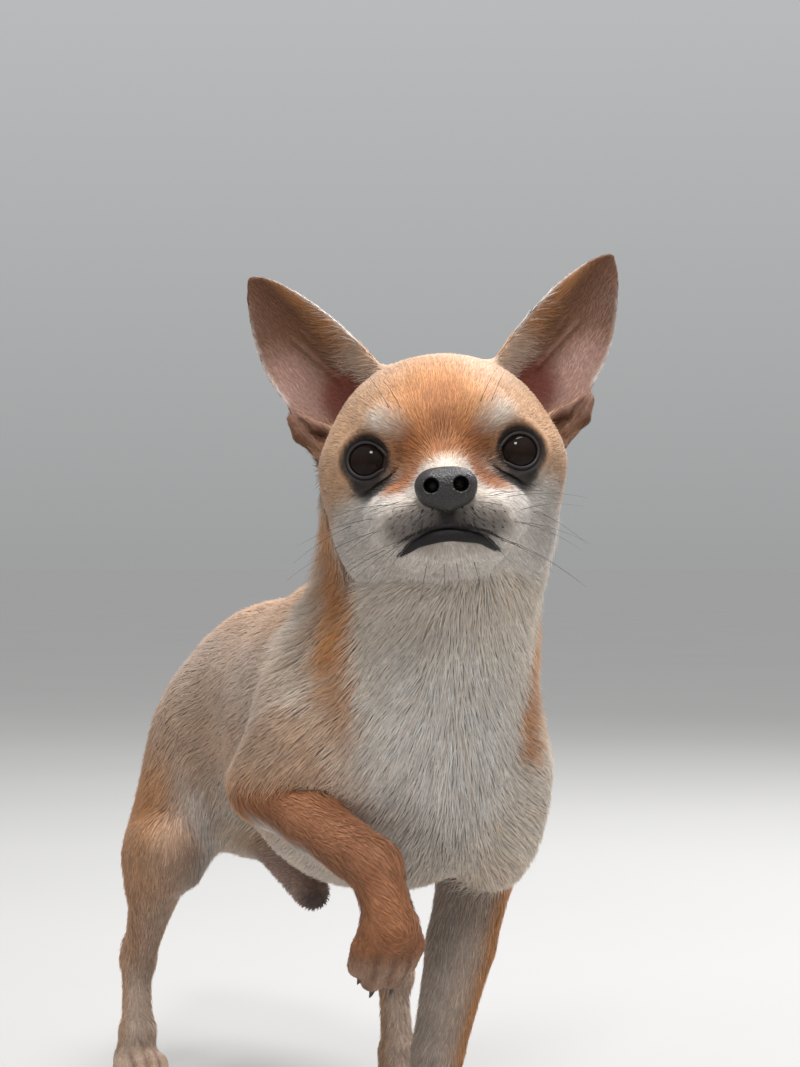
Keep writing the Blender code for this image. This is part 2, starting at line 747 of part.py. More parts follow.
COAT_OF = {
    "head": "tan", "neck": "cream", "torso": "fawn", "tail": "tan", "nose": "nose",
    "ear_left": "ear", "ear_right": "ear", "eye_left": "eye", "eye_right": "eye",
    "foreleg_left": "tan", "forepaw_left": "tan", "foreleg_right": "rust", "forepaw_right": "rust",
    "hindleg_left": "tan", "hindfoot_left": "cream", "hindleg_right": "tan", "hindfoot_right": "cream",
}


def coat(name):
    colour, rough = COATS[name]
    material = bpy.data.materials.new(name)
    material.use_nodes = True
    shader = material.node_tree.nodes["Principled BSDF"]
    shader.inputs["Base Color"].default_value = (*colour, 1)
    shader.inputs["Roughness"].default_value = rough
    return material


def finish():
    """Gives every piece its collection, colour and place over the origin."""
    home = bpy.data.collections.new("chihuahua")
    bpy.context.scene.collection.children.link(home)
    coats = {name: coat(name) for name in COATS}
    for name, colour in COAT_OF.items():
        body = bpy.data.objects[name]
        bpy.context.scene.collection.objects.unlink(body)
        home.objects.link(body)
        body.data.transform(Matrix.Translation(mm(-BOX_MIDDLE[0], -BOX_MIDDLE[1], 0)))
        body.data.materials.clear()
        body.data.materials.append(coats[colour])
        body.data.shade_smooth()
        body.data.set_sharp_from_angle(angle=CREASE)


def main():
    for obj in list(bpy.data.objects):
        bpy.data.objects.remove(obj)
    trunk = make_trunk()
    make_head()
    make_nose()
    for side, name in ((1, "eye_left"), (-1, "eye_right")):
        make_eye(side, name)
    forms, join = raised_leg_group()
    raised = trimmed(formed("raised", forms, [(forms, join)], LIMB_VOXEL, LIMB_TRIANGLES), trunk)
    trimmed(formed("tail", tail_forms(), [(tail_forms(), 0)], LIMB_VOXEL, LIMB_TRIANGLES // 2), trunk)
    parted(combine(raised, raised_cut()), RAISED_LABELS)
    parted(combine(trunk, trunk_cuts()), LABELS)
    for name, (joints, axes, size) in PAWS.items():
        combine(bpy.data.objects[name], claws_of(joints, axes, size), "UNION")
    finish()


if __name__ == "__main__":
    main()
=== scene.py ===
"""The looks of the chihuahua: one skin with its coat, eyes, nose, claws and whiskers, on a pale floor.

The dog faces -Y with its left side at +X and +Z up. Forms are written in millimetres in the dog's own frame,
and every piece is set over the origin at the end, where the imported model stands.
"""
import math

import bmesh
import bpy
import numpy as np
from mathutils import Matrix, Vector
from mathutils.bvhtree import BVHTree


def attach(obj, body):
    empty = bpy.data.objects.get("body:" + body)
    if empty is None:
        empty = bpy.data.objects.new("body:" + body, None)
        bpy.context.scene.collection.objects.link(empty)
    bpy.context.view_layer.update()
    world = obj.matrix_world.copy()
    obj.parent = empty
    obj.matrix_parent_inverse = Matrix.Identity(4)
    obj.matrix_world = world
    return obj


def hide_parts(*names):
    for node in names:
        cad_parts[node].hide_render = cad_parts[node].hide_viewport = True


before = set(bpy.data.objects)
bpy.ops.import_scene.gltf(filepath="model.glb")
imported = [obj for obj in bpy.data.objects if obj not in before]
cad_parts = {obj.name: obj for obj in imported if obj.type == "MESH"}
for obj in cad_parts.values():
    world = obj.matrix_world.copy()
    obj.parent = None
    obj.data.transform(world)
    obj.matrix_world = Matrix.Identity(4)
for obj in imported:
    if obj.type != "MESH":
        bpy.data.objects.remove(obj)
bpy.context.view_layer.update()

# Driving sizes, in millimetres, as in the solids
EYE_RADIUS = 8.6
EYE_SPREAD = 24.2
EYE_DEPTH = 4.0
EYE_OPENING = (6.4, 6.1)
LID_THICKNESS = 1.7
LID_EDGE = 0.85
BOX_MIDDLE = (7.0, -17.6)
HEAD_AT = (-7.5, -140, 253)
HEAD_YAW = -24
HEAD_PITCH = -7.5
HEAD_ROLL = -3.6

# How finely the skin is meshed
SKIN_VOXEL = 1.75
NOSE_VOXEL = 0.5

SEED = 7


def mm(*values):
    """Millimetres as metres: one number, or an array of several."""
    return values[0] / 1000 if len(values) == 1 else np.array(values, float) / 1000


def turn(x=0, y=0, z=0):
    """Rotation by degrees about Y, then X, then Z."""
    rx, ry, rz = (np.array(Matrix.Rotation(math.radians(a), 3, n)) for a, n in zip((x, y, z), "XYZ"))
    return rz @ rx @ ry


HEAD_TURN = turn(HEAD_PITCH, HEAD_ROLL, HEAD_YAW)


def in_head(x, y, z):
    """A point of the head's own frame, whose origin is midway between the eyes, in the dog's frame."""
    return HEAD_TURN @ np.array((x, y, z), float) + np.array(HEAD_AT, float)


def head_frame(points):
    """Points of the dog's frame, in metres, as millimetres in the head's own frame."""
    return (points * 1000 - np.array(HEAD_AT, float)) @ HEAD_TURN


def frame_of(forward, up):
    """Rotation whose columns are outward, forward and up, each square to the others."""
    forward = np.array(forward, float) / np.linalg.norm(forward)
    up = np.array(up, float) - forward * (forward @ np.array(up, float))
    up /= np.linalg.norm(up)
    return np.stack([np.cross(forward, up), forward, up], axis=1)


def unit(vectors):
    return vectors / np.maximum(np.linalg.norm(vectors, axis=-1, keepdims=True), 1e-9)


def ramp(value, low, high):
    """0 below low, 1 above high, and smooth between them. Either may be the greater."""
    t = np.clip((value - low) / (high - low), 0, 1)
    return t * t * (3 - 2 * t)


class Ball:
    """An ellipsoid."""

    def __init__(self, centre, radii, rotation=None, blend=12, carve=False):
        self.centre, self.radii = mm(*centre), mm(*radii)
        self.rotation = np.eye(3) if rotation is None else rotation
        self.blend, self.carve = mm(blend), carve

    def distance(self, points):
        local = (points - self.centre) @ self.rotation
        near = np.sqrt(((local / self.radii) ** 2).sum(axis=1))
        slope = np.sqrt(((local / self.radii**2) ** 2).sum(axis=1))
        return near * (near - 1) / np.maximum(slope, 1e-9)

    def add_to(self, mesh):
        matrix = Matrix.Translation(self.centre) @ Matrix(self.rotation).to_4x4()
        matrix = matrix @ Matrix.Diagonal((*self.radii, 1))
        bmesh.ops.create_uvsphere(mesh, u_segments=24, v_segments=16, radius=1, matrix=matrix)


class Limb:
    """A round bar that tapers from one end to the other, thinned along one direction by flat."""

    def __init__(self, start, end, start_radius, end_radius, blend=12, flat=1.0, across=(1, 0, 0),
                 carve=False):
        self.start, self.end = mm(*start), mm(*end)
        self.radii = mm(start_radius), mm(end_radius)
        self.blend, self.flat, self.carve = mm(blend), flat, carve
        along = self.end - self.start
        across = np.array(across, float)
        across = across - along * (across @ along) / (along @ along)
        self.across = across / np.linalg.norm(across)

    def distance(self, points):
        along = self.end - self.start
        share = np.clip((points - self.start) @ along / (along @ along), 0, 1)
        off = points - self.start - share[:, None] * along
        off += np.outer(off @ self.across, self.across) * (1 / self.flat - 1)
        radius = self.radii[0] + (self.radii[1] - self.radii[0]) * share
        return (np.sqrt((off**2).sum(axis=1)) - radius) * (0.5 + 0.5 * self.flat)

    def add_to(self, mesh, segments=18):
        squeeze = Matrix.Scale(self.flat, 4, Vector(self.across))
        along = Vector(self.end - self.start)
        for centre, radius in zip((self.start, self.end), self.radii):
            place = Matrix.Translation(centre) @ squeeze
            bmesh.ops.create_uvsphere(mesh, u_segments=segments, v_segments=12, radius=radius, matrix=place)
        middle = Matrix.Translation((self.start + self.end) / 2)
        bmesh.ops.create_cone(
            mesh, cap_ends=True, segments=segments, radius1=self.radii[0], radius2=self.radii[1],
            depth=along.length, matrix=middle @ squeeze @ along.to_track_quat("Z", "Y").to_matrix().to_4x4(),
        )


# The ear's outline and cup, in millimetres along its own axes
EAR_HEIGHT = 66
EAR_ROOT = -14
EAR_HALF_WIDTH = 19.5
EAR_THICKNESS = 2.4
EAR_CURL = 12
EAR_LEAN = 3
EAR_SWAY = 1
EAR_WAIST = 0.11
EAR_WAIST_AT = 15
EAR_WAIST_SPAN = 12
EAR_FIRST_THICKNESS = 4.4


class Ear:
    """A cupped leaf: x runs across it to its outer edge, y backwards through it and z up to its tip."""

    def __init__(self, side, blend=5):
        self.side, self.blend, self.carve = side, mm(blend), False
        up = np.array((side * 0.565, 0.10, 0.82))
        up /= np.linalg.norm(up)
        back = np.array((-side * 0.30, 0.95, 0.0))
        back -= up * (back @ up)
        back /= np.linalg.norm(back)
        out = np.cross(back, up) * side
        self.axes = HEAD_TURN @ np.stack([out, back, up], axis=1)
        self.root = mm(*in_head(side * 31 + 0.6, 33, 23))

    @staticmethod
    def half_width(z, outer=0.0):
        """Half the width at height z. The outer edge, where outer is 1, is waisted above its root."""
        above = np.clip(z / EAR_HEIGHT, 0, 1)
        below = np.clip(z / EAR_ROOT, 0, 1)
        waist = 1 - outer * EAR_WAIST * np.exp(-(((z - EAR_WAIST_AT) / EAR_WAIST_SPAN) ** 2))
        return EAR_HALF_WIDTH * np.maximum(1 - above**2, 0) ** 0.74 * (1 - 0.25 * below**2) * waist

    @staticmethod
    def sway(z):
        """How far the middle of the ear bends inwards at height z."""
        return EAR_SWAY * np.clip(z / EAR_HEIGHT, 0, 1) ** 2

    @staticmethod
    def depth(x, z):
        """How far back the middle of the sheet lies."""
        width = np.maximum(Ear.half_width(z), 4)
        rise = np.clip(1 - z / EAR_HEIGHT, 0, 1.3)
        return 6 - EAR_CURL * rise * (x / width) ** 2 + EAR_LEAN * (z / EAR_HEIGHT) ** 2

    def inside(self, normals, low, high):
        """1 where the skin faces out of the cup."""
        return ramp(-(unit(normals) @ self.axes[:, 1]), low, high)

    def local(self, points):
        """Points in the ear's own axes, in millimetres."""
        return (points - self.root) @ self.axes * 1000

    def distance(self, points):
        x, y, z = self.local(points).T
        rise = np.clip(1 - z / EAR_HEIGHT, 0, 1.3)
        x = x + self.sway(z)
        slope = 2 * EAR_CURL * rise * np.abs(x) / np.maximum(self.half_width(z), 4) ** 2
        sheet = np.abs(y - self.depth(x, z)) / np.sqrt(1 + slope**2) - EAR_THICKNESS / 2
        edge = (np.abs(x) - self.half_width(z, x > 0)) * 0.85
        rim = np.maximum(edge, np.maximum(EAR_ROOT - z, z - EAR_HEIGHT))
        return -merge(-sheet, -rim, 1.6) / 1000

    def add_to(self, mesh, across=16, along=26):
        """A grid bent to the leaf, thicker than the ear so that remeshing keeps it whole."""
        verts = bmesh.ops.create_grid(mesh, x_segments=across, y_segments=along, size=1)["verts"]
        for vert in verts:
            z = EAR_ROOT + (EAR_HEIGHT - 0.2 - EAR_ROOT) * (vert.co.y + 1) / 2
            x = vert.co.x * float(self.half_width(z, vert.co.x > 0))
            y = float(self.depth(x, z)) - EAR_FIRST_THICKNESS / 2
            vert.co = self.root + self.axes @ mm(x, y, z)
        faces = list({face for vert in verts for face in vert.link_faces})
        bmesh.ops.recalc_face_normals(mesh, faces=faces)
        outward = sum((f.normal for f in faces), Vector()).dot(Vector(self.axes[:, 1]))
        bmesh.ops.solidify(mesh, geom=faces, thickness=-math.copysign(mm(EAR_FIRST_THICKNESS), outward))
        bmesh.ops.recalc_face_normals(mesh, faces=mesh.faces)


def merge(a, b, k):
    """Smooth union of two distances, rounded over a band of k."""
    h = np.maximum(k - np.abs(a - b), 0) / max(k, 1e-9)
    return np.minimum(a, b) - h**3 * k / 6


def blend_of(forms, points):
    """The distance from points to all the forms, blended in order."""
    total = np.full(len(points), 1.0)
    for form in forms:
        here = form.distance(points)
        total = -merge(-total, here, form.blend) if form.carve else merge(total, here, form.blend)
    return total


def body_distance(groups, points):
    """The distance from points to every group of forms. A group that joins by None is taken out."""
    total = np.full(len(points), 1.0)
    for forms, join in groups:
        if join is None:
            for form in forms:
                total = -merge(-total, form.distance(points), form.blend)
        else:
            total = merge(total, blend_of(forms, points), mm(join))
    return total


# Points are settled cell by cell, each against the forms that reach its cell
CELL = mm(16)
REACH_BEYOND = mm(12)
PROBE = 1e-5


def nearby(groups, centre):
    """The groups, each with only the forms that reach the cell round centre."""
    near = []
    for forms, join in groups:
        kept = [f for f in forms if f.distance(centre[None])[0] < f.blend + CELL + REACH_BEYOND]
        if kept:
            near.append((kept, join))
    return near


def settle(points, groups, rounds=4, most=mm(2.5), level=0.0):
    """Moves points along the slope of the blended distance, until they lie level beyond the surface."""
    keys, member = np.unique(np.floor(points / CELL).astype(int), axis=0, return_inverse=True)
    member = member.ravel()
    order = np.argsort(member, kind="stable")
    starts = np.searchsorted(member[order], np.arange(len(keys) + 1))
    probes = np.vstack([np.zeros(3), np.eye(3) * PROBE])
    level = np.broadcast_to(level, len(points))
    moved = points.copy()
    for i, key in enumerate(keys):
        mine = order[starts[i]:starts[i + 1]]
        near = nearby(groups, (key + 0.5) * CELL)
        here = moved[mine]
        for _ in range(rounds):
            values = body_distance(near, (here[None] + probes[:, None]).reshape(-1, 3)).reshape(4, -1)
            slope = (values[1:] - values[0]).T / PROBE
            steep = np.maximum((slope**2).sum(axis=1), 0.05)
            step = slope * ((values[0] - level[mine]) / steep)[:, None]
            length = np.maximum(np.sqrt((step**2).sum(axis=1)), 1e-12)
            here = here - step * np.minimum(1, most / length)[:, None]
        moved[mine] = here
    return moved


def both(make):
    """The forms that make() gives for the dog's left side and for its right side."""
    return make(1) + make(-1)


def torso_forms():
    return [
        Ball((0, -40, 154), (42, 76, 57)),
        Ball((1, -84, 148), (38, 37, 46), blend=20),
        Ball((0, 30, 158), (33, 62, 45), blend=30),
        Ball((0, 68, 157), (25, 38, 37), blend=24),
        Ball((0, -54, 188), (18, 46, 26), blend=24),
        *both(lambda s: [Ball((s * 17, 72, 142), (18, 33, 30), blend=22)]),
        Ball((36, -80, 142), (21, 28, 44), turn(x=-14), blend=20),
        Ball((-30, -78, 154), (20, 26, 38), turn(x=-14), blend=20),
        Ball((-2, 68, 122), (24, 28, 26), blend=20),
        Limb((-1, 52, 109), (1, 4, 89), 11, 7.8, blend=16),
    ]


def neck_forms():
    return [
        Limb((10, -70, 174), (9, -98, 232), 35, 42, blend=24, flat=0.84, across=(0.36, 0.93, 0)),
        Limb((3, -92, 160), (7, -114, 208), 36, 29, blend=24),
        Ball((29, -86, 187), (21, 26, 30), blend=16),
        Ball((-18, -84, 178), (19, 26, 26), blend=16),
    ]


def head_forms():
    def ball(centre, radii, rotation=None, **more):
        spin = HEAD_TURN if rotation is None else HEAD_TURN @ rotation
        return Ball(in_head(*centre), radii, spin, **more)

    def limb(start, end, *radii, across=(1, 0, 0), **more):
        return Limb(in_head(*start), in_head(*end), *radii, across=HEAD_TURN @ np.array(across), **more)

    return [
        ball((0, 26, 10), (37, 36, 30)),
        *both(lambda s: [
            ball((s * 26, 17, -1), (16, 19, 17), blend=14),
            ball((s * 20, 22, -18), (17, 21, 19), blend=14),
        ]),
        ball((0, 24, -24), (24, 28, 19), blend=14),
        limb((0, 4, -17), (0, -20, -21), 19.5, 12.5, flat=0.82, across=(0, 0, 1), blend=14),
        limb((0, 0, -5), (0, -24, -13), 10, 7.5, blend=10),
        limb((0, 10, -28), (0, -13, -32), 16, 8.5, flat=0.72, across=(0, 0, 1), blend=6),
        *both(lambda s: [
            ball((s * 8.5, -6, -33.5), (9, 14, 5.4), turn(z=s * 14), blend=6),
            ball((s * 9.5, -16.5, -24.5), (11.5, 14, 8.8), turn(z=s * 14), blend=6),
            limb((s * 4, -26.5, -28), (s * 17.5, -15, -29.5), 3.6, 4.2, blend=5),
            ball((s * 16, -2, -21), (10.5, 16, 11), turn(z=s * 10), blend=14),
            ball((s * 15.5, -2, 12.5), (11, 8, 7), turn(y=s * 16), blend=12),
        ]),
    ]


def eye_at(side):
    return in_head(side * EYE_SPREAD, EYE_DEPTH, 0)


def gaze_of(side):
    """Rotation whose Y axis points out of the back of that eye."""
    return HEAD_TURN @ turn(z=side * 14)


def lid_forms(side):
    lids = EYE_RADIUS + LID_THICKNESS
    return [Ball(eye_at(side), (lids, lids, lids), blend=6)]


def lid_opening(side):
    """The almond between the lids."""
    gaze = gaze_of(side)
    return Ball(eye_at(side) - gaze[:, 1] * (EYE_RADIUS + 4), (10.2, 8.2, 9.6), gaze, blend=1.0, carve=True)


# The line of the mouth on the dog's left, from under the nose to its corner, in the head's frame
MOUTH = [(0, -32, -31.4), (7, -30.5, -31.7), (13, -26, -32.5), (18, -17, -33.4), (21.5, -8, -33.6)]
LIP_GROOVE = 1.7
LIP_LIFT = 0.5
LIP_CLEFT = 0.9
LIP_WIDTHS = (4.4, 3.6, 2.8, 2.3)


def mouth_course(side):
    """The line of the mouth on one side, laid on the face, in metres."""
    face = [(head_forms(), 0)]
    course = np.array([mm(*in_head(side * x, y, z)) for x, y, z in MOUTH])
    return settle(course, face, rounds=8, level=mm(LIP_LIFT))


def mouth_forms():
    """Grooves along the mouth and up to the nose."""
    cuts = []
    for side in (1, -1):
        course = mouth_course(side) * 1000
        for start, end in zip(course, course[1:]):
            cuts.append(Limb(start, end, LIP_GROOVE, LIP_GROOVE, blend=1.2, carve=True))
    face = [(head_forms(), 0)]
    cleft = settle(np.array([mm(*in_head(0, -33, -22)), mm(*in_head(0, -33, -30))]), face, rounds=8) * 1000
    cuts.append(Limb(cleft[0], cleft[1], LIP_CLEFT, LIP_CLEFT, blend=1, carve=True))
    return cuts


def nose_forms():
    return [
        Ball(in_head(0, -30, -14.2), (9.6, 6.2, 5.6), HEAD_TURN),
        *both(lambda s: [Ball(in_head(s * 4.8, -31.8, -16), (4.9, 4.8, 5.8), HEAD_TURN, blend=4)]),
        Ball(in_head(0, -31.2, -19.6), (4.4, 4.2, 4.0), HEAD_TURN, blend=4),
    ]


def nostril_forms():
    """What is cut from the nose: two round nostrils, each with a slit out to the side, and a groove."""
    return [
        *both(lambda s: [
            Limb(in_head(s * 5.4, -41, -15.8), in_head(s * 4.4, -33.2, -15.2), 2.9, 2.3),
            Limb(in_head(s * 6.2, -39.5, -17.2), in_head(s * 10.6, -34.5, -20.2), 1.2, 1.0),
        ]),
        Limb(in_head(0, -38.2, -12), in_head(0, -37.0, -25), 0.8, 0.9),
    ]


def in_ear(side):
    """A function from that ear's own axes to the dog's frame."""
    ear = Ear(side)
    return lambda x, y, z: ear.root * 1000 + ear.axes @ np.array((x, y, z), float)


def ear_folds(side):
    """The doubled fold low on the ear's outer edge, and the soft ridges in its cup."""
    at = in_ear(side)
    return [
        Limb(at(16.6, -4.0, -3), at(18.4, -4.0, 5), 2.4, 2.6, blend=2.5),
        Limb(at(18.4, -4.0, 5), at(18.0, -1.6, 13), 2.6, 1.5, blend=2.5),
        Limb(at(7, 1.5, -4), at(12.4, -2.2, 4), 2.2, 2.0, blend=2.5),
        Limb(at(12.4, -2.2, 4), at(15.0, -1.2, 12), 2.0, 0.9, blend=2.5),
        Limb(at(-9, 4.4, 12), at(-4, 5.6, 34), 1.3, 0.8, blend=4),
        Limb(at(-3.5, 5.0, 14), at(1, 5.9, 36), 1.1, 0.7, blend=4),
    ]


# The joints of the legs
LEFT_FORE = {
    "shoulder": (44, -90, 144), "elbow": (41, -64, 108), "wrist": (19, -76, 41), "foot": (11, -84, 0),
}
RIGHT_FORE = {
    "shoulder": (-40, -92, 156), "elbow": (-47, -75, 138), "wrist": (-30, -135, 117), "foot": (-28, -134, 98),
}
RIGHT_HIND = {"hip": (-23, 76, 156), "knee": (-41, 60, 104), "hock": (-38, 107, 50), "foot": (-41, 100, 0)}
LEFT_HIND = {"hip": (23, 76, 156), "knee": (35, 22, 114), "hock": (46, 27, 51), "foot": (41, 12, 0)}
STANDING = frame_of((0, -1, 0), (0, 0, 1))
HANGING = frame_of((0.03, 0.16, -1), (0, -1, -0.16))

# A paw in its own axes: outward, forward and up from the middle of its sole
SOLE_SINK = 0.7
TOES = [(-8.0, 4.5), (-3.5, 9.5), (3.5, 9.5), (8.0, 4.5)]
TOE_CREASES = (-5.75, 0, 5.75)
CLAW_RADII = (1.15, 1.15, 1.1, 0.95, 0.75, 0.5, 0.18)

# The paws: the joints of their legs, their axes and their sizes
PAWS = [
    (LEFT_FORE, STANDING, 1.0),
    (RIGHT_FORE, HANGING, 1.0),
    (LEFT_HIND, STANDING, 0.9),
    (RIGHT_HIND, STANDING, 0.9),
]


def paw_place(joints, axes):
    """A function from the paw's own axes to the dog's frame."""
    foot = np.array(joints["foot"], float)
    return lambda out, ahead, up: foot + axes @ np.array((out, ahead, up - SOLE_SINK), float)


def paw_forms(joints, axes, size=1.0):
    """A paw: the pastern down from the wrist, the pad, and four arched toes."""
    at = paw_place(joints, axes)
    forms = [
        Limb(joints["wrist"], at(0, -2, 12), 9.4 * size, 8.2 * size, blend=4),
        Ball(at(0, 2, 9), (9.6 * size, 11.5, 7.0), axes, blend=8),
        Ball(at(0, -2, 4.4), (7.6 * size, 6.6, 4.4), axes, blend=3),
    ]
    for out, ahead in TOES:
        knuckle, tip = at(out * size, ahead + 1, 8.8), at(out * size, ahead + 8, 4.6)
        forms.append(Limb(at(out * 0.6, ahead - 6, 10), knuckle, 4.8 * size, 4.9 * size, blend=4))
        forms.append(Limb(knuckle, tip, 4.9 * size, 4.5 * size, blend=2))
    return forms


def foreleg_forms(joints, axes, elbow_radius=14.5, middle_radius=12.8):
    elbow, wrist = (np.array(joints[name], float) for name in ("elbow", "wrist"))
    middle = elbow + (wrist - elbow) * 0.45
    return [
        Limb(elbow, middle, elbow_radius, middle_radius, blend=10),
        Limb(middle, wrist, middle_radius, 9.8, blend=4),
        *paw_forms(joints, axes),
    ]


def upper_arm_forms(joints, side):
    shoulder, elbow = (np.array(joints[name], float) for name in ("shoulder", "elbow"))
    return [
        Limb(shoulder + (-side * 6, 6, 0), elbow + (-side * 1, 0, 2), 20, 14, blend=18, flat=0.85),
        Limb(shoulder + (-side * 12, 26, 2), elbow + (-side * 3, 6, 4), 17, 12, blend=18, flat=0.8),
    ]


def thigh_forms(joints, side):
    hip, knee = (np.array(joints[name], float) for name in ("hip", "knee"))
    return [
        Limb(hip + (-side * 3, -4, -8), knee + (-side * 3, 9, 2), 26, 16, blend=24, flat=0.7),
        Limb(hip + (-side * 1, 14, -20), knee + (-side * 1, 24, -4), 21, 15, blend=20, flat=0.7),
        Limb(hip + (-side * 2, -6, -34), knee + (-side * 10, 5, -11), 17, 9.5, blend=16, flat=0.8),
        Ball(knee, (11, 11, 12), blend=10),
    ]


def shank_forms(joints, axes):
    knee, hock, foot = (np.array(joints[name], float) for name in ("knee", "hock", "foot"))
    heel = hock + (0, 4, 6)
    calf = knee + (hock - knee) * 0.34 + (0, 7, 0)
    joints = {**joints, "wrist": hock + (foot - hock) * 0.6}
    return [
        Limb(knee, hock, 13, 7.4, blend=10, flat=0.85),
        Limb(knee + (0, 14, -2), calf, 14, 11.5, blend=12, flat=0.85),
        Limb(calf, heel, 9.5, 4.6, blend=10, flat=0.7),
        Ball(hock, (7.4, 8.2, 8.2), blend=6),
        Limb(heel, joints["wrist"], 6.0, 7.0, blend=6),
        *paw_forms(joints, axes, size=0.9),
    ]


# The tail's course, each point with its radius
TAIL = [(0, 90, 176, 14), (0, 112, 176, 11), (-3, 132, 158, 8.4), (-10, 134, 118, 6.8), (-17, 122, 83, 3.4)]
TAIL_STEPS = 4


def smooth_course(points, steps):
    """Points along a smooth curve through the given ones."""
    ends = [2 * np.array(points[0], float) - points[1], *points, 2 * np.array(points[-1], float) - points[-2]]
    a, b, c, d = (np.array(ends[i:len(ends) - 3 + i], float)[:, None] for i in range(4))
    t = np.linspace(0, 1, steps, endpoint=False)[None, :, None]
    course = 0.5 * (2 * b + (c - a) * t + (2 * a - 5 * b + 4 * c - d) * t**2 + (3 * b - a - 3 * c + d) * t**3)
    return [*course.reshape(-1, len(points[0])), np.array(points[-1], float)]


def tail_forms():
    course = smooth_course(TAIL, TAIL_STEPS)
    return [Limb(a[:3], b[:3], a[3], b[3], blend=1) for a, b in zip(course, course[1:])]


def skin_groups():
    """Every form of the skin, in the order in which they are joined."""
    return [
        ([*torso_forms(), *neck_forms(), *upper_arm_forms(LEFT_FORE, 1), *upper_arm_forms(RIGHT_FORE, -1),
          *thigh_forms(LEFT_HIND, 1), *thigh_forms(RIGHT_HIND, -1)], 10),
        (foreleg_forms(LEFT_FORE, STANDING), 8),
        (shank_forms(LEFT_HIND, STANDING), 7),
        (shank_forms(RIGHT_HIND, STANDING), 7),
        (foreleg_forms(RIGHT_FORE, HANGING, 11.5, 10.6), 5),
        (tail_forms(), 6),
        ([*head_forms(), *lid_forms(1), *lid_forms(-1)], 20),
        ([Ear(1)], 7),
        ([Ear(-1)], 7),
        (ear_folds(1), 2),
        (ear_folds(-1), 2),
        (mouth_forms(), None),
        ([lid_opening(1), lid_opening(-1)], None),
    ]


# The parts of the skin whose coat differs, each with the forms that it follows
def regions():
    return {
        "head": head_forms(),
        "ear_left": [Ear(1)],
        "ear_right": [Ear(-1)],
        "neck": neck_forms(),
        "torso": torso_forms(),
        "arm_left": upper_arm_forms(LEFT_FORE, 1),
        "arm_right": upper_arm_forms(RIGHT_FORE, -1),
        "fore_left": foreleg_forms(LEFT_FORE, STANDING)[:3],
        "fore_right": foreleg_forms(RIGHT_FORE, HANGING, 11.5, 10.6)[:3],
        "thigh_left": thigh_forms(LEFT_HIND, 1),
        "thigh_right": thigh_forms(RIGHT_HIND, -1),
        "shank_left": shank_forms(LEFT_HIND, STANDING)[:5],
        "shank_right": shank_forms(RIGHT_HIND, STANDING)[:5],
        "paw_fore_left": paw_forms(LEFT_FORE, STANDING)[1:],
        "paw_fore_right": paw_forms(RIGHT_FORE, HANGING)[1:],
        "paw_hind_left": shank_forms(LEFT_HIND, STANDING)[6:],
        "paw_hind_right": shank_forms(RIGHT_HIND, STANDING)[6:],
        "tail": tail_forms(),
    }


REGION_NAMES = list(regions())
EARS = {"ear_left": Ear(1), "ear_right": Ear(-1)}

# For each region: the coat's depth, its hairs' length and width in millimetres, how far they stand off as a
# share of their length, and how many there are to a square millimetre
COATS = {
    "head": (0.7, 4.2, 0.27, 0.07, 2.1),
    "ear": (0.35, 3.0, 0.26, 0.08, 1.5),
    "neck": (2.4, 13.0, 0.46, 0.15, 1.5),
    "torso": (1.6, 9.5, 0.44, 0.11, 0.9),
    "arm": (1.4, 8.5, 0.46, 0.11, 1.0),
    "fore": (0.9, 5.0, 0.36, 0.09, 1.2),
    "thigh": (1.4, 9.0, 0.46, 0.11, 0.9),
    "shank": (0.9, 5.0, 0.36, 0.09, 1.1),
    "paw": (0.35, 2.0, 0.26, 0.07, 1.9),
    "tail": (1.5, 9.0, 0.46, 0.13, 1.1),
}


def linked(name, data):
    body = bpy.data.objects.new(name, data)
    bpy.context.scene.collection.objects.link(body)
    return body


def object_from(name, mesh, material=None):
    """An object of the finished mesh, smooth and with its faces outward where it has a material."""
    data = bpy.data.meshes.new(name)
    if material:
        bmesh.ops.recalc_face_normals(mesh, faces=mesh.faces)
    mesh.to_mesh(data)
    mesh.free()
    if material:
        data.shade_smooth()
        data.materials.append(material)
    return linked(name, data)


def applied(body):
    """The object with its modifiers applied."""
    graph = bpy.context.evaluated_depsgraph_get()
    data = bpy.data.meshes.new_from_object(body.evaluated_get(graph))
    body.modifiers.clear()
    body.data = data
    return body


def read(items, field, kind=float, width=3):
    """A row of numbers for each of a mesh's items."""
    values = np.empty(len(items) * width, kind)
    items.foreach_get(field, values)
    return values.reshape(-1, width)


def points_of(body):
    return read(body.data.vertices, "co")


def set_points(body, points):
    body.data.vertices.foreach_set("co", points.ravel())
    body.data.update()


def solid_of(name, shapes):
    """One object of the shapes' own meshes, not yet joined."""
    whole = bmesh.new()
    for form in shapes:
        mesh = bmesh.new()
        form.add_to(mesh)
        data = bpy.data.meshes.new(name)
        mesh.to_mesh(data)
        mesh.free()
        whole.from_mesh(data)
        bpy.data.meshes.remove(data)
    return object_from(name, whole)


def remeshed(body, voxel, softening=2):
    remesh = body.modifiers.new("one skin", "REMESH")
    remesh.mode, remesh.voxel_size = "VOXEL", mm(voxel)
    smooth = body.modifiers.new("soften", "SMOOTH")
    smooth.factor, smooth.iterations = 0.5, softening
    return applied(body)


def refine(body, wanted):
    """Splits the faces whose corners are all wanted into four."""
    mesh = bmesh.new()
    mesh.from_mesh(body.data)
    mesh.edges.ensure_lookup_table()
    edges = [e for e in mesh.edges if wanted[e.verts[0].index] and wanted[e.verts[1].index]]
    bmesh.ops.subdivide_edges(mesh, edges=edges, cuts=1, use_grid_fill=True)
    mesh.to_mesh(body.data)
    mesh.free()
    return body


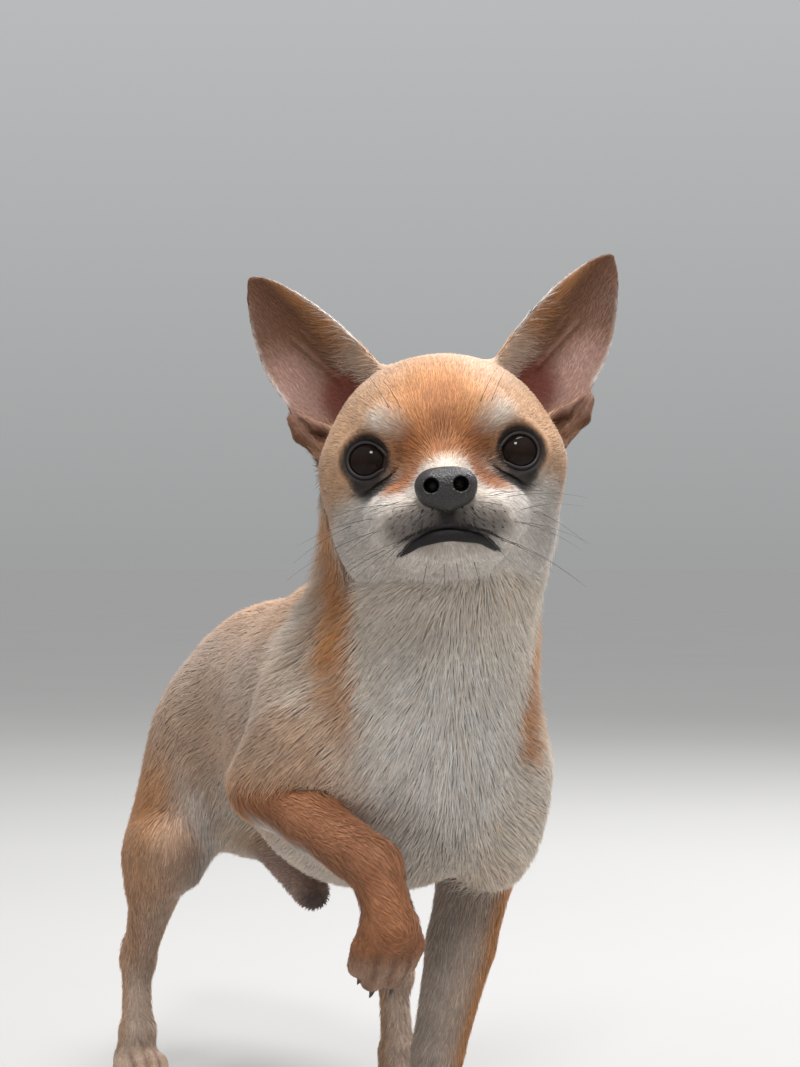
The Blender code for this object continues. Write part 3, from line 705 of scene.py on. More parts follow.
def region_of(points):
    """The number of the region that each point is nearest to."""
    gaps = [np.min([form.distance(points) for form in forms], axis=0) for forms in regions().values()]
    return np.argmin(gaps, axis=0)


def kind_of(name):
    return name.split("_")[0]


def kinds_of(region):
    """The first word of each point's region."""
    return np.array([kind_of(name) for name in REGION_NAMES])[region]


def coat_rows(region):
    """The coat's numbers at each point."""
    return np.array([COATS[kind_of(name)] for name in REGION_NAMES])[region]


def relaxed(values, edges, rounds):
    """Values at a mesh's points, averaged with their neighbours'."""
    values = values.astype(float)
    share = np.bincount(edges.ravel(), minlength=len(values)).astype(float)[:, None] + 1
    flat = values.reshape(len(values), -1)
    for _ in range(rounds):
        total = flat.copy()
        for column in range(flat.shape[1]):
            total[:, column] += np.bincount(edges[:, 0], flat[edges[:, 1], column], len(flat))
            total[:, column] += np.bincount(edges[:, 1], flat[edges[:, 0], column], len(flat))
        flat = total / share
    return flat.reshape(values.shape)


def edges_of(body):
    return read(body.data.edges, "vertices", int, 2)


def normals_of(body):
    return read(body.data.vertex_normals, "vector")


def noise(points, size, seed=0):
    """Smooth noise from -1 to 1 with lumps of the given size in millimetres."""
    place = points * 1000 / size
    cell = np.floor(place).astype(np.int64)
    part = place - cell
    part = part * part * (3 - 2 * part)
    total = np.zeros(len(points))
    for corner in np.ndindex(2, 2, 2):
        at = cell + corner
        mixed = (at[:, 0] * 73856093) ^ (at[:, 1] * 19349663) ^ (at[:, 2] * 83492791) ^ (seed * 2654435761)
        mixed = (mixed ^ (mixed >> 13)) * 1274126177
        value = ((mixed ^ (mixed >> 16)) & 65535) / 32767.5 - 1
        weight = np.prod(np.where(corner, part, 1 - part), axis=1)
        total += weight * value
    return total


def linear(red, green, blue):
    """A colour as a painter names it, 0 to 255, in the renderer's linear terms."""
    c = np.array((red, green, blue)) / 255
    return np.where(c <= 0.04045, c / 12.92, ((c + 0.055) / 1.055) ** 2.4)


ORANGE = linear(197, 136, 84)
TAN = linear(190, 152, 122)
FAWN = linear(203, 178, 158)
CREAM = linear(222, 208, 192)
WHITE = linear(230, 225, 219)
GREY = linear(150, 140, 132)
PAD_GREY = linear(112, 104, 100)
TEMPLE = linear(202, 160, 124)
RUST = linear(168, 106, 64)
DARK_RUST = linear(112, 64, 36)
BROWN = linear(92, 58, 38)
BLACK = linear(26, 20, 18)
LILAC = linear(154, 118, 106)
EAR_BROWN = linear(112, 74, 50)
CANAL_SKIN_AND_SHADE = linear(104, 50, 36)
SHEATH = linear(150, 122, 112)
BROW_SPOT = linear(208, 196, 184)


def toward(colour, other, share):
    """Each colour moved part of the way to another one."""
    return colour + (other - colour) * np.clip(share, 0, 1)[:, None]


def layered(colour, *layers):
    """The colour with others laid over it in turn, each by its share at each point."""
    if colour.ndim == 1:
        colour = np.tile(colour, (len(layers[0][1]), 1))
    for other, share in layers:
        colour = toward(colour, other, share)
    return colour


def spot(points, centre, radii, edge=0.5):
    """1 inside an ellipsoid and 0 beyond it, with a soft edge as a share of its size."""
    far = np.sqrt((((points - np.array(centre, float)) / np.array(radii, float)) ** 2).sum(axis=1))
    return ramp(far, 1 + edge / 2, 1 - edge / 2)


def bar(points, start, end, radius, edge=0.6):
    """1 within radius of a straight line between two points, and 0 beyond, with a soft edge."""
    start, end = np.array(start, float), np.array(end, float)
    along = end - start
    share = np.clip((points - start) @ along / (along @ along), 0, 1)
    far = np.linalg.norm(points - start - share[:, None] * along, axis=1) / radius
    return ramp(far, 1 + edge / 2, 1 - edge / 2)


def body_colour(p, normals, wide, fine):
    """Fawn above, cream beneath and in front, with an orange stripe down each side of the neck."""
    back, height = p[:, 1], p[:, 2]
    return layered(
        FAWN,
        (TAN, ramp(wide + 0.3 * fine, -0.3, 0.8) * 0.55),
        (TAN, ramp(height, 186, 140) * ramp(back, -66, 0) * 0.55),
        (ORANGE, ramp(back, 52, 96) * ramp(height, 110, 150) * 0.22),
        (CREAM, ramp(normals[:, 2] + 0.15 * wide, -0.2, -0.8) * 0.8),
        (CREAM, ramp(back, -80, -108) * ramp(height, 90, 120) * 0.95),
        (WHITE, spot(p, (2, -128, 158), (26, 34, 44), 0.9) * 0.75),
        (TAN, ramp(back, -88, -66) * ramp(height, 176, 200) * 0.8),
        # Painted shade: grey on the bottom of the chest, between the forelegs.
        (GREY, spot(p, (0, -118, 118), (22, 26, 16), 1.0) * 0.35),
        (CREAM, bar(p, (-25, -76, 214), (-33, -84, 162), 9, 1.0) * 0.85),
        (CREAM, bar(p, (49, -88, 214), (46, -92, 190), 9, 1.0) * 0.85),
        (ORANGE, bar(p, (-27, -94, 236), (-22, -108, 166), 8.5, 1.1) * (0.95 + 0.3 * fine)),
        (ORANGE, bar(p, (47, -98, 230), (34, -112, 160), 8.5, 1.1) * (0.95 + 0.3 * fine)),
        (ORANGE, bar(p, (46, -92, 176), (47, -88, 120), 9, 1.1) * (0.75 + 0.3 * fine)),
        (TAN, spot(p, (-32, -98, 148), (16, 20, 22), 1.0) * 0.6),
        (SHEATH, bar(p, (0, 34, 100), (1, 2, 88), 11, 0.7) * 0.8),
        (BLACK, spot(p, (1, -3, 86), (7, 7, 7), 0.9) * 0.7),
    )


def toe_crease_shade(p):
    """1 in the lines between the toes, where painted shade goes."""
    share = np.zeros(len(p))
    for joints, axes, size in PAWS:
        from_foot = p - np.array(joints["foot"], float)
        out, ahead, _ = (from_foot @ axes).T
        close = ramp(np.linalg.norm(from_foot, axis=1), 32, 24) * ramp(ahead, 3, 9)
        for line in TOE_CREASES:
            share = np.maximum(share, close * ramp(np.abs(out / size - line), 1.3, 0.3))
    return share


def leg_colour(colour, p, normals, kinds, fine):
    """Orange outer sides, rust on the raised leg, grey-white in front; painted shade inside and between the
    toes.
    """
    outer = ramp(normals[:, 0] * np.sign(p[:, 0]), 0.05, 0.7)
    inner = ramp(normals[:, 0], -0.1, -0.8)
    ahead = ramp(normals[:, 1], -0.1, -0.8)
    front = ramp(normals[:, 1], -0.25, -0.85)
    beneath = ramp(normals[:, 2], -0.35, -0.85)
    height = p[:, 2]
    arm, fore, paw, shank = (kinds == k for k in ("arm", "fore", "paw", "shank"))
    left, right = p[:, 0] > 0, p[:, 0] <= 0
    hind = (kinds == "thigh") | shank
    hanging = paw & (height > 60)
    for mine, other, share in (
        (arm & left, ORANGE, outer * 0.6),
        (arm & right, TAN, 0.65),
        (arm & right, ORANGE, ramp(height, 152, 134) * 0.75),
        (fore & left, TAN, 0.5),
        # Grey in front: partly skin showing through thin fur, partly painted shade.
        (fore & left, GREY, ahead * 0.6),
        (fore & left, ORANGE, outer * 0.95),
        # Painted shade: grey on the inner side of the standing foreleg.
        (fore & left, GREY, inner * 0.7),
        (fore & right, RUST, 0.92),
        (fore & right, DARK_RUST, ramp(fine, -0.2, 0.8) * 0.35),
        (fore & right, WHITE, beneath * ramp(p[:, 1], -122, -108) * 0.8),
        (hind, WHITE, front * 0.6),
        (hind, GREY, front * ramp(height, 120, 96) * 0.4),
        (hind, ORANGE, spot(p, (-46, 76, 108), (18, 30, 32), 0.9) * 0.85),
        (hind, ORANGE, spot(p, (46, 42, 108), (18, 30, 32), 0.9) * 0.85),
        (hind, RUST, spot(p, (-44, 98, 76), (14, 22, 26), 1.0) * 0.55),
        (hind, RUST, spot(p, (50, 34, 76), (14, 22, 26), 1.0) * 0.55),
        (shank, TAN, 0.45),
        (shank, ORANGE, ramp(normals[:, 1], -0.1, 0.8) * 0.55),
        (paw, FAWN, 0.75),
        (paw, TAN, ramp(fine, -0.2, 0.7) * 0.5),
        (hanging, RUST, 0.9),
        (hanging, DARK_RUST, ramp(height, 112, 96) * 0.35),
        (hanging, FAWN, ramp(height, 92, 82) * 0.45),
    ):
        colour[mine] = toward(colour, other, np.broadcast_to(share, len(p)))[mine]
    # Painted shade in the lines between the toes.
    return toward(colour, BROWN, toe_crease_shade(p) * 0.75)


def face_colour(h, wide, fine):
    """Orange brow, white muzzle and cheeks, pale spots over the eyes, and dark rust beside and below them."""
    back, height = h[:, 1], h[:, 2]
    low = height + 0.35 * back + 5 * wide + 2 * fine
    shade_behind_cheek = spot(h, (0, 14, -24), (60, 20, 16), 1.0) * ramp(np.abs(h[:, 0]), 20, 34)
    face = layered(
        TEMPLE,
        (FAWN, ramp(height + 4 * wide, 14, 34) * 0.55),
        (ORANGE, spot(h, (0, -4, 15), (18, 34, 21), 1.2) * 0.9),
        (RUST, bar(h, (0, -12, 1), (0, -10, 17), 8, 1.4) * 0.6),
        # Painted shade: a dark line in the furrow between the brows.
        (DARK_RUST, bar(h, (0, -13, 1), (0, -10, 9), 3.6, 1.6) * 0.6),
        (WHITE, ramp(low, -4, -17) * 0.85),
        # Painted shade: grey low on the sides of the jaw, behind the cheeks.
        (GREY, shade_behind_cheek * 0.35),
        (CREAM, ramp(back + 1.5 * fine, -15, -27) * ramp(height, 3, -5) * 0.72),
    )
    for s in (1, -1):
        face = layered(
            face,
            (RUST, bar(h, (s * 11, -10, 3), (s * 14, -14, -12), 5.6, 1.0) * 0.95),
            (BROW_SPOT, bar(h, (s * 21, -8, 13), (s * 15, -12, 7.5), 4.6, 1.4) * (0.62 + 0.3 * fine)),
            (DARK_RUST, spot(h, (s * 24.5, -3, 0.5), (11, 12, 10), 0.3) * 0.45),
            (DARK_RUST, bar(h, (s * 14, -8, -1), (s * 14.5, -11, -7), 3.0, 1.2) * 0.7),
            (BLACK, bar(h, (s * 27.5, -3, -8.5), (s * 19, -6.5, -12), 4.6, 0.6) * 0.96),
            (BLACK, bar(h, (s * 15, -8, -1.5), (s * 18, -6, -8), 2.4, 0.9) * 0.85),
            (PAD_GREY, spot(h, (s * 10, -28, -27), (10, 11, 7.5), 0.9) * 0.85),
            (BLACK, spot(h, (s * 5, -31, -28), (6, 8, 5.5), 1.0) * 0.5),
        )
    return layered(
        face,
        (BLACK, bar(h, (0, -32, -22), (0, -30, -31), 4.5, 1.0) * 0.8),
        (CREAM, ramp(height, -38, -46) * 0.6),
    )


def ear_rim(ear, points):
    """1 along the thin edge of the ear."""
    x, _, z = ear.local(points).T
    x = x + Ear.sway(z)
    across = np.abs(x) / np.maximum(Ear.half_width(z, x > 0), 3)
    return ramp(across, 0.88, 0.97) * ramp(across, 1.2, 1.08) * ramp(z, 14, 20)


def ear_colour(points, normals, ear, fine):
    """Brown inside, pink low down, a band of fur along the inner edge, and a pale rim, part painted
    highlight.
    """
    x, y, z = ear.local(points).T
    x = x + Ear.sway(z)
    place = np.stack([x, y, z], axis=1)
    across = x / np.maximum(Ear.half_width(z, x > 0), 3)
    back = layered(TAN, (ORANGE, ramp(fine, -0.5, 0.5) * 0.5), (BROWN, ramp(z, 36, 64) * 0.5))
    inner = layered(
        EAR_BROWN,
        (BROWN, ramp(z + 4 * fine, 24, 50) * 0.9),
        (LILAC, spot(place, (9, 4, 18), (9, 14, 16), 1.1) * 0.9),
        # Reddish skin low in the cup, darkened with painted shade.
        (CANAL_SKIN_AND_SHADE, spot(place, (-2, 3, 6), (9, 20, 11), 0.9) * 0.9),
        (ORANGE, ramp(across, -0.42, -0.85) * ramp(z, 66, 44) * 0.7),
        (CREAM, ramp(across, -0.3, -0.7) * ramp(z, 26, 12) * 0.5),
        # Painted shade: brown in the slit of the fold low on the ear's outer edge.
        (BROWN, spot(place, (16, -1, 5), (2.4, 8, 7), 0.8) * 0.9),
    )
    colour = back + (inner - back) * ear.inside(normals, -0.1, 0.3)[:, None]
    # The pale rim: partly pale hair, partly a painted highlight of light from behind.
    return toward(colour, WHITE, ear_rim(ear, points) * 0.8)


def markings(points, normals, region):
    """The colour of the coat at each point."""
    p = points * 1000
    wide, fine = noise(points, 22, 1), noise(points, 6, 2)
    kinds = kinds_of(region)
    colour = leg_colour(body_colour(p, normals, wide, fine), p, normals, kinds, fine)
    head = kinds == "head"
    colour[head] = face_colour(head_frame(points), wide, fine)[head]
    for name, ear in EARS.items():
        mine = region == REGION_NAMES.index(name)
        colour[mine] = ear_colour(points, normals, ear, fine)[mine]
    # The canal's reddish skin with painted shade over it.
    colour = toward(colour, CANAL_SKIN_AND_SHADE, canal(points) * 0.9)
    lift = 1 + 0.08 * wide + 0.10 * fine
    return np.clip(colour * lift[:, None], 0, 1)


def canal(points):
    """1 in the bare depth of the ears, which is darkened with painted shade."""
    share = np.zeros(len(points))
    for ear in EARS.values():
        local = ear.local(points)
        behind = local[:, 1] - Ear.depth(local[:, 0], local[:, 2])
        deep = spot(local, (-2, 4.5, 5), (9, 6, 10), 0.6) * ramp(behind, 0.5, -0.5)
        share = np.maximum(share, deep)
    return share


def lips(points, more=0.0):
    """1 along the dark edges of the mouth and below the nose, and within more millimetres of them."""
    share = np.zeros(len(points))
    for side in (1, -1):
        course = mouth_course(side) - HEAD_TURN[:, 2] * mm(1.2)
        for start, end, wide in zip(course, course[1:], LIP_WIDTHS):
            share = np.maximum(share, bar(points, start, end, mm(wide + more), 0.6))
    top, foot = mm(*in_head(0, -33, -20)), mm(*in_head(0, -32, -31))
    return np.maximum(share, bar(points, top, foot, mm(3 + more), 0.6))


def rims(points, near=1.25, far=1.62):
    """1 on the bare lids round each eye, in ovals that are near and far times the opening's size."""
    share = np.zeros(len(points))
    for side in (1, -1):
        local = (points * 1000 - eye_at(side)) @ gaze_of(side)
        oval = np.sqrt((local[:, 0] / EYE_OPENING[0]) ** 2 + (local[:, 2] / EYE_OPENING[1]) ** 2)
        share = np.maximum(share, ramp(oval, far, near) * (local[:, 1] < 0))
    return share


def ruff(points):
    """1 where the neck's coat stands out behind the cheeks."""
    p = points * 1000
    right = bar(p, (-27, -84, 228), (-33, -82, 176), 10, 1.0)
    left = bar(p, (50, -92, 226), (49, -88, 188), 10, 1.0)
    return np.maximum(right, left)


def ear_fringe(points, normals, region):
    """1 where long hairs cross the ear's cup from its inner edge."""
    share = np.zeros(len(points))
    for name, ear in EARS.items():
        x, _, z = ear.local(points).T
        across = x / np.maximum(Ear.half_width(z), 3)
        here = ear.inside(normals, -0.2, 0.2) * ramp(across, -0.15, -0.55) * ramp(z, 48, 24)
        share = np.maximum(share, here * (region == REGION_NAMES.index(name)))
    return share


def lie(points, normals, region):
    """The way that the hair points, along the skin."""
    p, h = points * 1000, head_frame(points)
    names, kinds = np.array(REGION_NAMES)[region], kinds_of(region)
    flow = np.zeros_like(p)
    away = h - np.array((0, -34, -12))
    away[:, 2] -= 8 * ramp(h[:, 1], 10, 40)
    crossing = ear_fringe(points, normals, region)[:, None]
    parting = p[:, 0] - 2
    nothing = 0 * parting
    fan = np.stack([parting / 26, 0.25 + nothing, -1 + nothing], axis=1)
    behind = ramp(p[:, 1], -100, -70)[:, None]
    chest = ramp(p[:, 1], -82, -112)[:, None]
    along = np.stack([nothing, 1 + nothing, -0.55 * ramp(np.abs(normals[:, 0]), 0.1, 0.8)], axis=1)

    def lay(mine, ways):
        flow[mine] = np.broadcast_to(ways, p.shape)[mine]

    lay(kinds == "head", unit(away) @ HEAD_TURN.T)
    for name, ear in EARS.items():
        lay(names == name, ear.axes[:, 2] * (1 - 0.5 * crossing) + ear.axes[:, 0] * crossing)
    lay(kinds == "neck", fan * (1 - behind) + np.array((0, 0.85, -0.5)) * behind)
    lay(kinds == "torso", along * (1 - chest) + fan * chest)
    lay(kinds == "arm", (0, 0.3, -1))
    for name, joints, first, last in (
        ("arm_right", RIGHT_FORE, "shoulder", "elbow"),
        ("fore_left", LEFT_FORE, "elbow", "wrist"),
        ("fore_right", RIGHT_FORE, "elbow", "wrist"),
    ):
        lay(names == name, unit(np.array(joints[last], float) - np.array(joints[first], float)) + (0, 0.1, 0))
    lay(kinds == "thigh", (0, 0.45, -1))
    lay(names == "shank_left", (0, 0.15, -1))
    lay(names == "shank_right", (0, 0.3, -1))
    lay(kinds == "paw", (0, -0.7, -0.7))
    lay(names == "paw_fore_right", HANGING[:, 1])
    tail = kinds == "tail"
    course = np.array(smooth_course(TAIL, TAIL_STEPS))[:, :3]
    middles, ways = (course[1:] + course[:-1]) / 2, unit(course[1:] - course[:-1])
    flow[tail] = ways[np.argmin(np.linalg.norm(p[tail][:, None] - middles[None], axis=2), axis=1)]
    return unit(flow)


def along_skin(flow, normals):
    return unit(flow - normals * (flow * normals).sum(axis=1, keepdims=True))


def add_colour(data, name, colours):
    layer = data.color_attributes.new(name, "FLOAT_COLOR", "POINT")
    opaque = np.column_stack([colours, np.ones(len(colours))])
    layer.data.foreach_set("color", opaque.astype(np.float32).ravel())


def make_skin():
    """The skin as one mesh, and what the coat needs to know at each of its points."""
    groups = skin_groups()
    shapes = [form for forms, _ in groups for form in forms if not form.carve]
    body = remeshed(solid_of("skin", shapes), SKIN_VOXEL)
    points = points_of(body)
    h = head_frame(points)
    face = (np.abs(h[:, 0]) < 80) & (h[:, 1] < 46) & (h[:, 2] > -46) & (points[:, 2] > 0.2)
    paws = np.zeros(len(points), bool)
    for joints, _, _ in PAWS:
        paws |= np.linalg.norm(points * 1000 - np.array(joints["foot"], float) - (0, 0, 6), axis=1) < 25
    refine(body, face | paws)
    points, edges = points_of(body), edges_of(body)
    rows = relaxed(coat_rows(region_of(points)), edges, 12)
    rows[:, 0] *= 1 - np.maximum(rims(points, 1.5, 1.9), canal(points))
    points = settle(points, groups, rounds=5, level=-mm(1) * rows[:, 0])
    points[:, 2] = np.maximum(points[:, 2], 0)
    set_points(body, points)
    normals = normals_of(body)
    region = region_of(points)
    flow = lie(points, normals, region)
    for _ in range(3):
        flow = along_skin(relaxed(flow, edges, 8), normals)
    colours = relaxed(markings(points, normals, region), edges, 2)
    lip, rim = lips(points), rims(points)
    colours = toward(colours, BLACK, np.maximum(lip, rim) * 0.95)
    under_nose = ramp(blend_of(nose_forms(), points), mm(0.6), mm(-0.6))
    # The ear's edge is left bare, so its pale rim, partly painted highlight, shows on the skin.
    edge = np.max([ear_rim(ear, points) for ear in EARS.values()], axis=0) * 0.7
    bare = np.max([lip, rim, canal(points), under_nose, edge], axis=0)
    fringe, standing = ear_fringe(points, normals, region), ruff(points)
    close = np.maximum(lips(points, 3), rims(points, 1.6, 2.1))
    rows[:, 1] *= (1 + 1.6 * fringe) * (1 + 0.3 * standing) * (1 - 0.5 * close)
    rows[:, 3] += 0.16 * fringe + 0.16 * standing
    rows[:, 1] *= 1 - 0.75 * bar(points, mm(0, 30, 98), mm(1, 0, 88), mm(13), 0.5)
    body.data.shade_smooth()
    add_colour(body.data, "marking", colours)
    return body, {
        "points": points, "normals": normals, "flow": flow, "region": region, "rows": rows,
        "colours": colours, "bare": bare,
    }


def corner_triangles(body):
    body.data.calc_loop_triangles()
    return read(body.data.loop_triangles, "vertices", int)


# The coat's pieces: the regions of each, and how many tufts it has at most
COAT_PIECES = {
    "coat_head_left": (("head",), 1, 14200),
    "coat_head_right": (("head",), -1, 14200),
    "coat_ears": (("ear_left", "ear_right"), 0, 11000),
    "coat_neck_left": (("neck",), 1, 12800),
    "coat_neck_right": (("neck",), -1, 12800),
    "coat_body_left": (("torso",), 1, 18400),
    "coat_body_right": (("torso",), -1, 18400),
    "coat_arms": (("arm_left", "arm_right"), 0, 3000),
    "coat_forelegs": (("fore_left", "fore_right", "paw_fore_left", "paw_fore_right"), 0, 14500),
    "coat_thighs": (("thigh_left", "thigh_right"), 0, 12600),
    "coat_hindlegs": (("shank_left", "shank_right", "paw_hind_left", "paw_hind_right"), 0, 12500),
    "coat_tail": (("tail",), 0, 6000),
}
SLOTS = {
    "head": "head_coat", "ears": "ear_skin", "neck": "neck_coat", "body": "body_coat", "arms": "body_coat",
    "forelegs": "foreleg_coat", "thighs": "hindleg_coat", "hindlegs": "hindfoot_coat", "tail": "tail_coat",
}

# The lines round which each region is unwrapped, from one end to the other
UNWRAP = {
    "head": ((0, -175, 250), (0, -90, 250)),
    "ear_left": ((22, -100, 270), (60, -90, 335)),
    "ear_right": ((-45, -90, 270), (-70, -90, 325)),
    "neck": ((4, -84, 160), (10, -100, 245)),
    "torso": ((0, -130, 155), (0, 110, 155)),
    "arm_left": ((38, -80, 160), (38, -64, 100)),
    "arm_right": ((-38, -84, 170), (-46, -74, 120)),
    "fore_left": ((41, -64, 112), (19, -76, 36)),
    "fore_right": ((-50, -74, 137), (-33, -134, 117)),
    "thigh_left": ((24, 74, 170), (35, 30, 100)),
    "thigh_right": ((-24, 76, 170), (-40, 66, 90)),
    "shank_left": ((35, 22, 114), (46, 20, 20)),
    "shank_right": ((-41, 60, 104), (-40, 104, 20)),
    "paw_fore_left": ((11, -72, 8), (11, -104, 8)),
    "paw_fore_right": ((-32, -133, 106), (-32, -130, 78)),
    "paw_hind_left": ((41, 24, 8), (41, -8, 8)),
    "paw_hind_right": ((-41, 112, 8), (-41, 80, 8)),
    "tail": ((-4, 125, 185), (-12, 128, 80)),
}

# A tuft: three points at its root, three half way and one at its tip, with their faces, their painted shade
# (darker at the root, lighter at the tip) and their places on its patch of the unwrap
TUFT_FACES = np.array([(0, 2, 1), (0, 4, 3), (0, 1, 4), (1, 5, 4), (1, 2, 5), (2, 3, 5), (2, 0, 3), (3, 4, 6),
                       (4, 5, 6), (5, 3, 6)])
# Painted shade: darker at the root, lighter at the tip.
TUFT_ROOT_SHADE = np.array([0.72, 0.72, 0.72, 1.0, 1.0, 1.0, 1.12])
TUFT_PATCH = np.array([(0, 0), (1, 0), (0.5, 0.1), (0.1, 0.6), (0.9, 0.6), (0.5, 0.6), (0.5, 1)]) * 0.003
ROOT_SINK = 0.15
LOWEST_HAIR = 0.1


def unwrapped(points, region, names):
    """Where each point lies on an unwrap of the skin, the named regions side by side."""
    flat = np.zeros((len(points), 2))
    for number, name in enumerate(names):
        mine = region == REGION_NAMES.index(name)
        if not mine.any():
            continue
        start, end = (mm(*point) for point in UNWRAP[name])
        axis = unit(end - start)
        side = unit(np.cross(axis, (0.31, 0.2, 0.93)))
        other = np.cross(axis, side)
        off = points[mine] - start
        height = off @ axis
        height = (height - height.min()) / max(np.ptp(height), 1e-6)
        angle = np.arctan2(off @ other, off @ side) / (2 * np.pi) + 0.5
        flat[mine] = np.column_stack([(number + 0.02 + 0.94 * angle) / len(names), 0.02 + 0.94 * height])
    return flat


def sampled(rng, weights, count):
    """Numbers drawn with the given weights, spread evenly."""
    total = np.cumsum(weights)
    draws = (np.arange(count) + rng.random(count)) / count * total[-1]
    return np.minimum(np.searchsorted(total, draws), len(weights) - 1)


def grow(name, rng, skin, corners, tree, material):
    """One piece of the coat: flattened, pointed tufts that follow the lie of the hair."""
    names, half, most = COAT_PIECES[name]
    wanted = np.isin(skin["region"], [REGION_NAMES.index(n) for n in names])
    if half:
        middle = mm(HEAD_AT[0]) if names[0] == "head" else 0.0
        wanted &= (skin["points"][:, 0] - middle) * half >= 0
    mine = corners[wanted[corners].sum(axis=1) >= 2]
    a, b, c = (skin["points"][mine[:, i]] for i in range(3))
    area = np.linalg.norm(np.cross(b - a, c - a), axis=1) / 2 * 1e6
    bare = skin["bare"][mine].mean(axis=1)
    thick = skin["rows"][mine, 4].mean(axis=1) * np.clip(1 - bare * 1.2, 0, 1)
    weights = area * thick
    count = int(min(most, weights.sum()))
    chosen = mine[sampled(rng, weights, count)]
    u, v = rng.random(count), rng.random(count)
    over = u + v > 1
    u[over], v[over] = 1 - u[over], 1 - v[over]
    share = np.stack([1 - u - v, u, v], axis=1)

    def at(values):
        return np.einsum("ij,ij...->i...", share, values[chosen])

    root, normal, flow = at(skin["points"]), unit(at(skin["normals"])), unit(at(skin["flow"]))
    rows, colour = at(skin["rows"]), at(skin["colours"])
    region = skin["region"][chosen[:, 0]]
    across = unit(np.cross(normal, flow))
    sway = 0.22 * noise(root, 5, 11) + 0.16 * noise(root, 13, 12) + 0.13 * rng.standard_normal(count)
    flow = unit(flow + across * sway[:, None])
    across = unit(np.cross(normal, flow))
    length = rows[:, 1] * (1 + 0.22 * noise(root, 6, 13) + 0.18 * rng.standard_normal(count)) / 1000
    length = np.clip(length, 0.35 * rows[:, 1] / 1000, 1.7 * rows[:, 1] / 1000)
    width = rows[:, 2] * (0.8 + 0.4 * rng.random(count)) / 1000
    lift = rows[:, 3] * (1 + 0.5 * noise(root, 8, 14) + 0.45 * rng.standard_normal(count))
    lift = np.clip(lift, 0.02, None)
    crown = rows[:, 0] * (0.45 + 0.5 * rng.random(count)) / 1000
    first = root + flow * (length * 0.5)[:, None]
    second = root + flow * length[:, None]
    for points, height in ((first, crown * 0.55), (second, crown + lift * length * 0.5)):
        for i in range(count):
            place, facing, _, _ = tree.find_nearest(Vector(points[i]))
            points[i] = place + facing * height[i]
    root = root - normal * mm(ROOT_SINK)
    thick = normal * (width * 0.45)[:, None]
    half_width = across * (width * 0.5)[:, None]
    verts = np.empty((count, 7, 3))
    verts[:, 0], verts[:, 1], verts[:, 2] = root - half_width, root + half_width, root + thick
    for i, off in enumerate((-half_width, half_width, thick)):
        verts[:, 3 + i] = first + off * 0.8
    verts[:, 6] = second
    verts[:, :, 2] = np.maximum(verts[:, :, 2], mm(LOWEST_HAIR))
    faces = (TUFT_FACES[None] + 7 * np.arange(count)[:, None, None]).reshape(-1, 3)
    data = bpy.data.meshes.new(name)
    data.vertices.add(count * 7)
    data.vertices.foreach_set("co", verts.ravel())
    data.loops.add(len(faces) * 3)
    data.loops.foreach_set("vertex_index", faces.ravel())
    data.polygons.add(len(faces))
    data.polygons.foreach_set("loop_start", np.arange(len(faces)) * 3)
    data.update(calc_edges=True)
    body = linked(name, data)
    shade = 1 + 0.13 * rng.standard_normal(count) + 0.10 * noise(root, 3, 15)
    warm = 1.01 + 0.03 * rng.standard_normal(count)
    tint = np.stack([warm, np.ones(count), 1 / warm], axis=1)
    colour = np.clip(colour * shade[:, None] * tint, 0.004, 0.95)
    # Painted shade: each tuft darkens towards its root and lightens at its tip.
    add_colour(data, "marking", np.clip(colour[:, None] * TUFT_ROOT_SHADE[None, :, None], 0, 1).reshape(-1, 3))
    flat = unwrapped(root, region, names)[:, None] + TUFT_PATCH[None]
    layer = data.uv_layers.new(name="OFBake")
    layer.data.foreach_set("uv", flat[:, TUFT_FACES].reshape(-1, 2).astype(np.float32).ravel())
    data.shade_smooth()
    body.data.materials.append(material)
    soft = unit(normal[:, None] * 0.75 + unit(verts - verts.mean(axis=1, keepdims=True)) * 0.25)
    data.normals_split_custom_set_from_vertices(soft.reshape(-1, 3).astype(np.float32))
    return body


def new_material(name, rough):
    material = bpy.data.materials.new(name)
    material.use_nodes = True
    tree = material.node_tree
    shader = tree.nodes["Principled BSDF"]
    shader.inputs["Roughness"].default_value = rough
    return material, tree, shader


def node(tree, kind, **inputs):
    made = tree.nodes.new(kind)
    for name, value in inputs.items():
        made.inputs[name.replace("_", " ")].default_value = value
    return made


def bump_on(tree, shader, height, strength, distance):
    bump = node(tree, "ShaderNodeBump", Strength=strength, Distance=distance)
    tree.links.new(height, bump.inputs["Height"])
    tree.links.new(bump.outputs["Normal"], shader.inputs["Normal"])


def texture_on(tree, kind, **inputs):
    """A texture that is fixed to the object."""
    place, texture = node(tree, "ShaderNodeTexCoord"), node(tree, kind, **inputs)
    tree.links.new(place.outputs["Object"], texture.inputs["Vector"])
    return texture


def combined(tree, operation, first, second, slot=1):
    """Two outputs combined by vector arithmetic."""
    made = node(tree, "ShaderNodeVectorMath")
    made.operation = operation
    tree.links.new(first, made.inputs[0])
    tree.links.new(second, made.inputs[slot])
    return made.outputs["Vector"]


def marking_on(tree):
    """The colour that the mesh carries."""
    marking = node(tree, "ShaderNodeAttribute")
    marking.attribute_name = "marking"
    return marking.outputs["Color"]


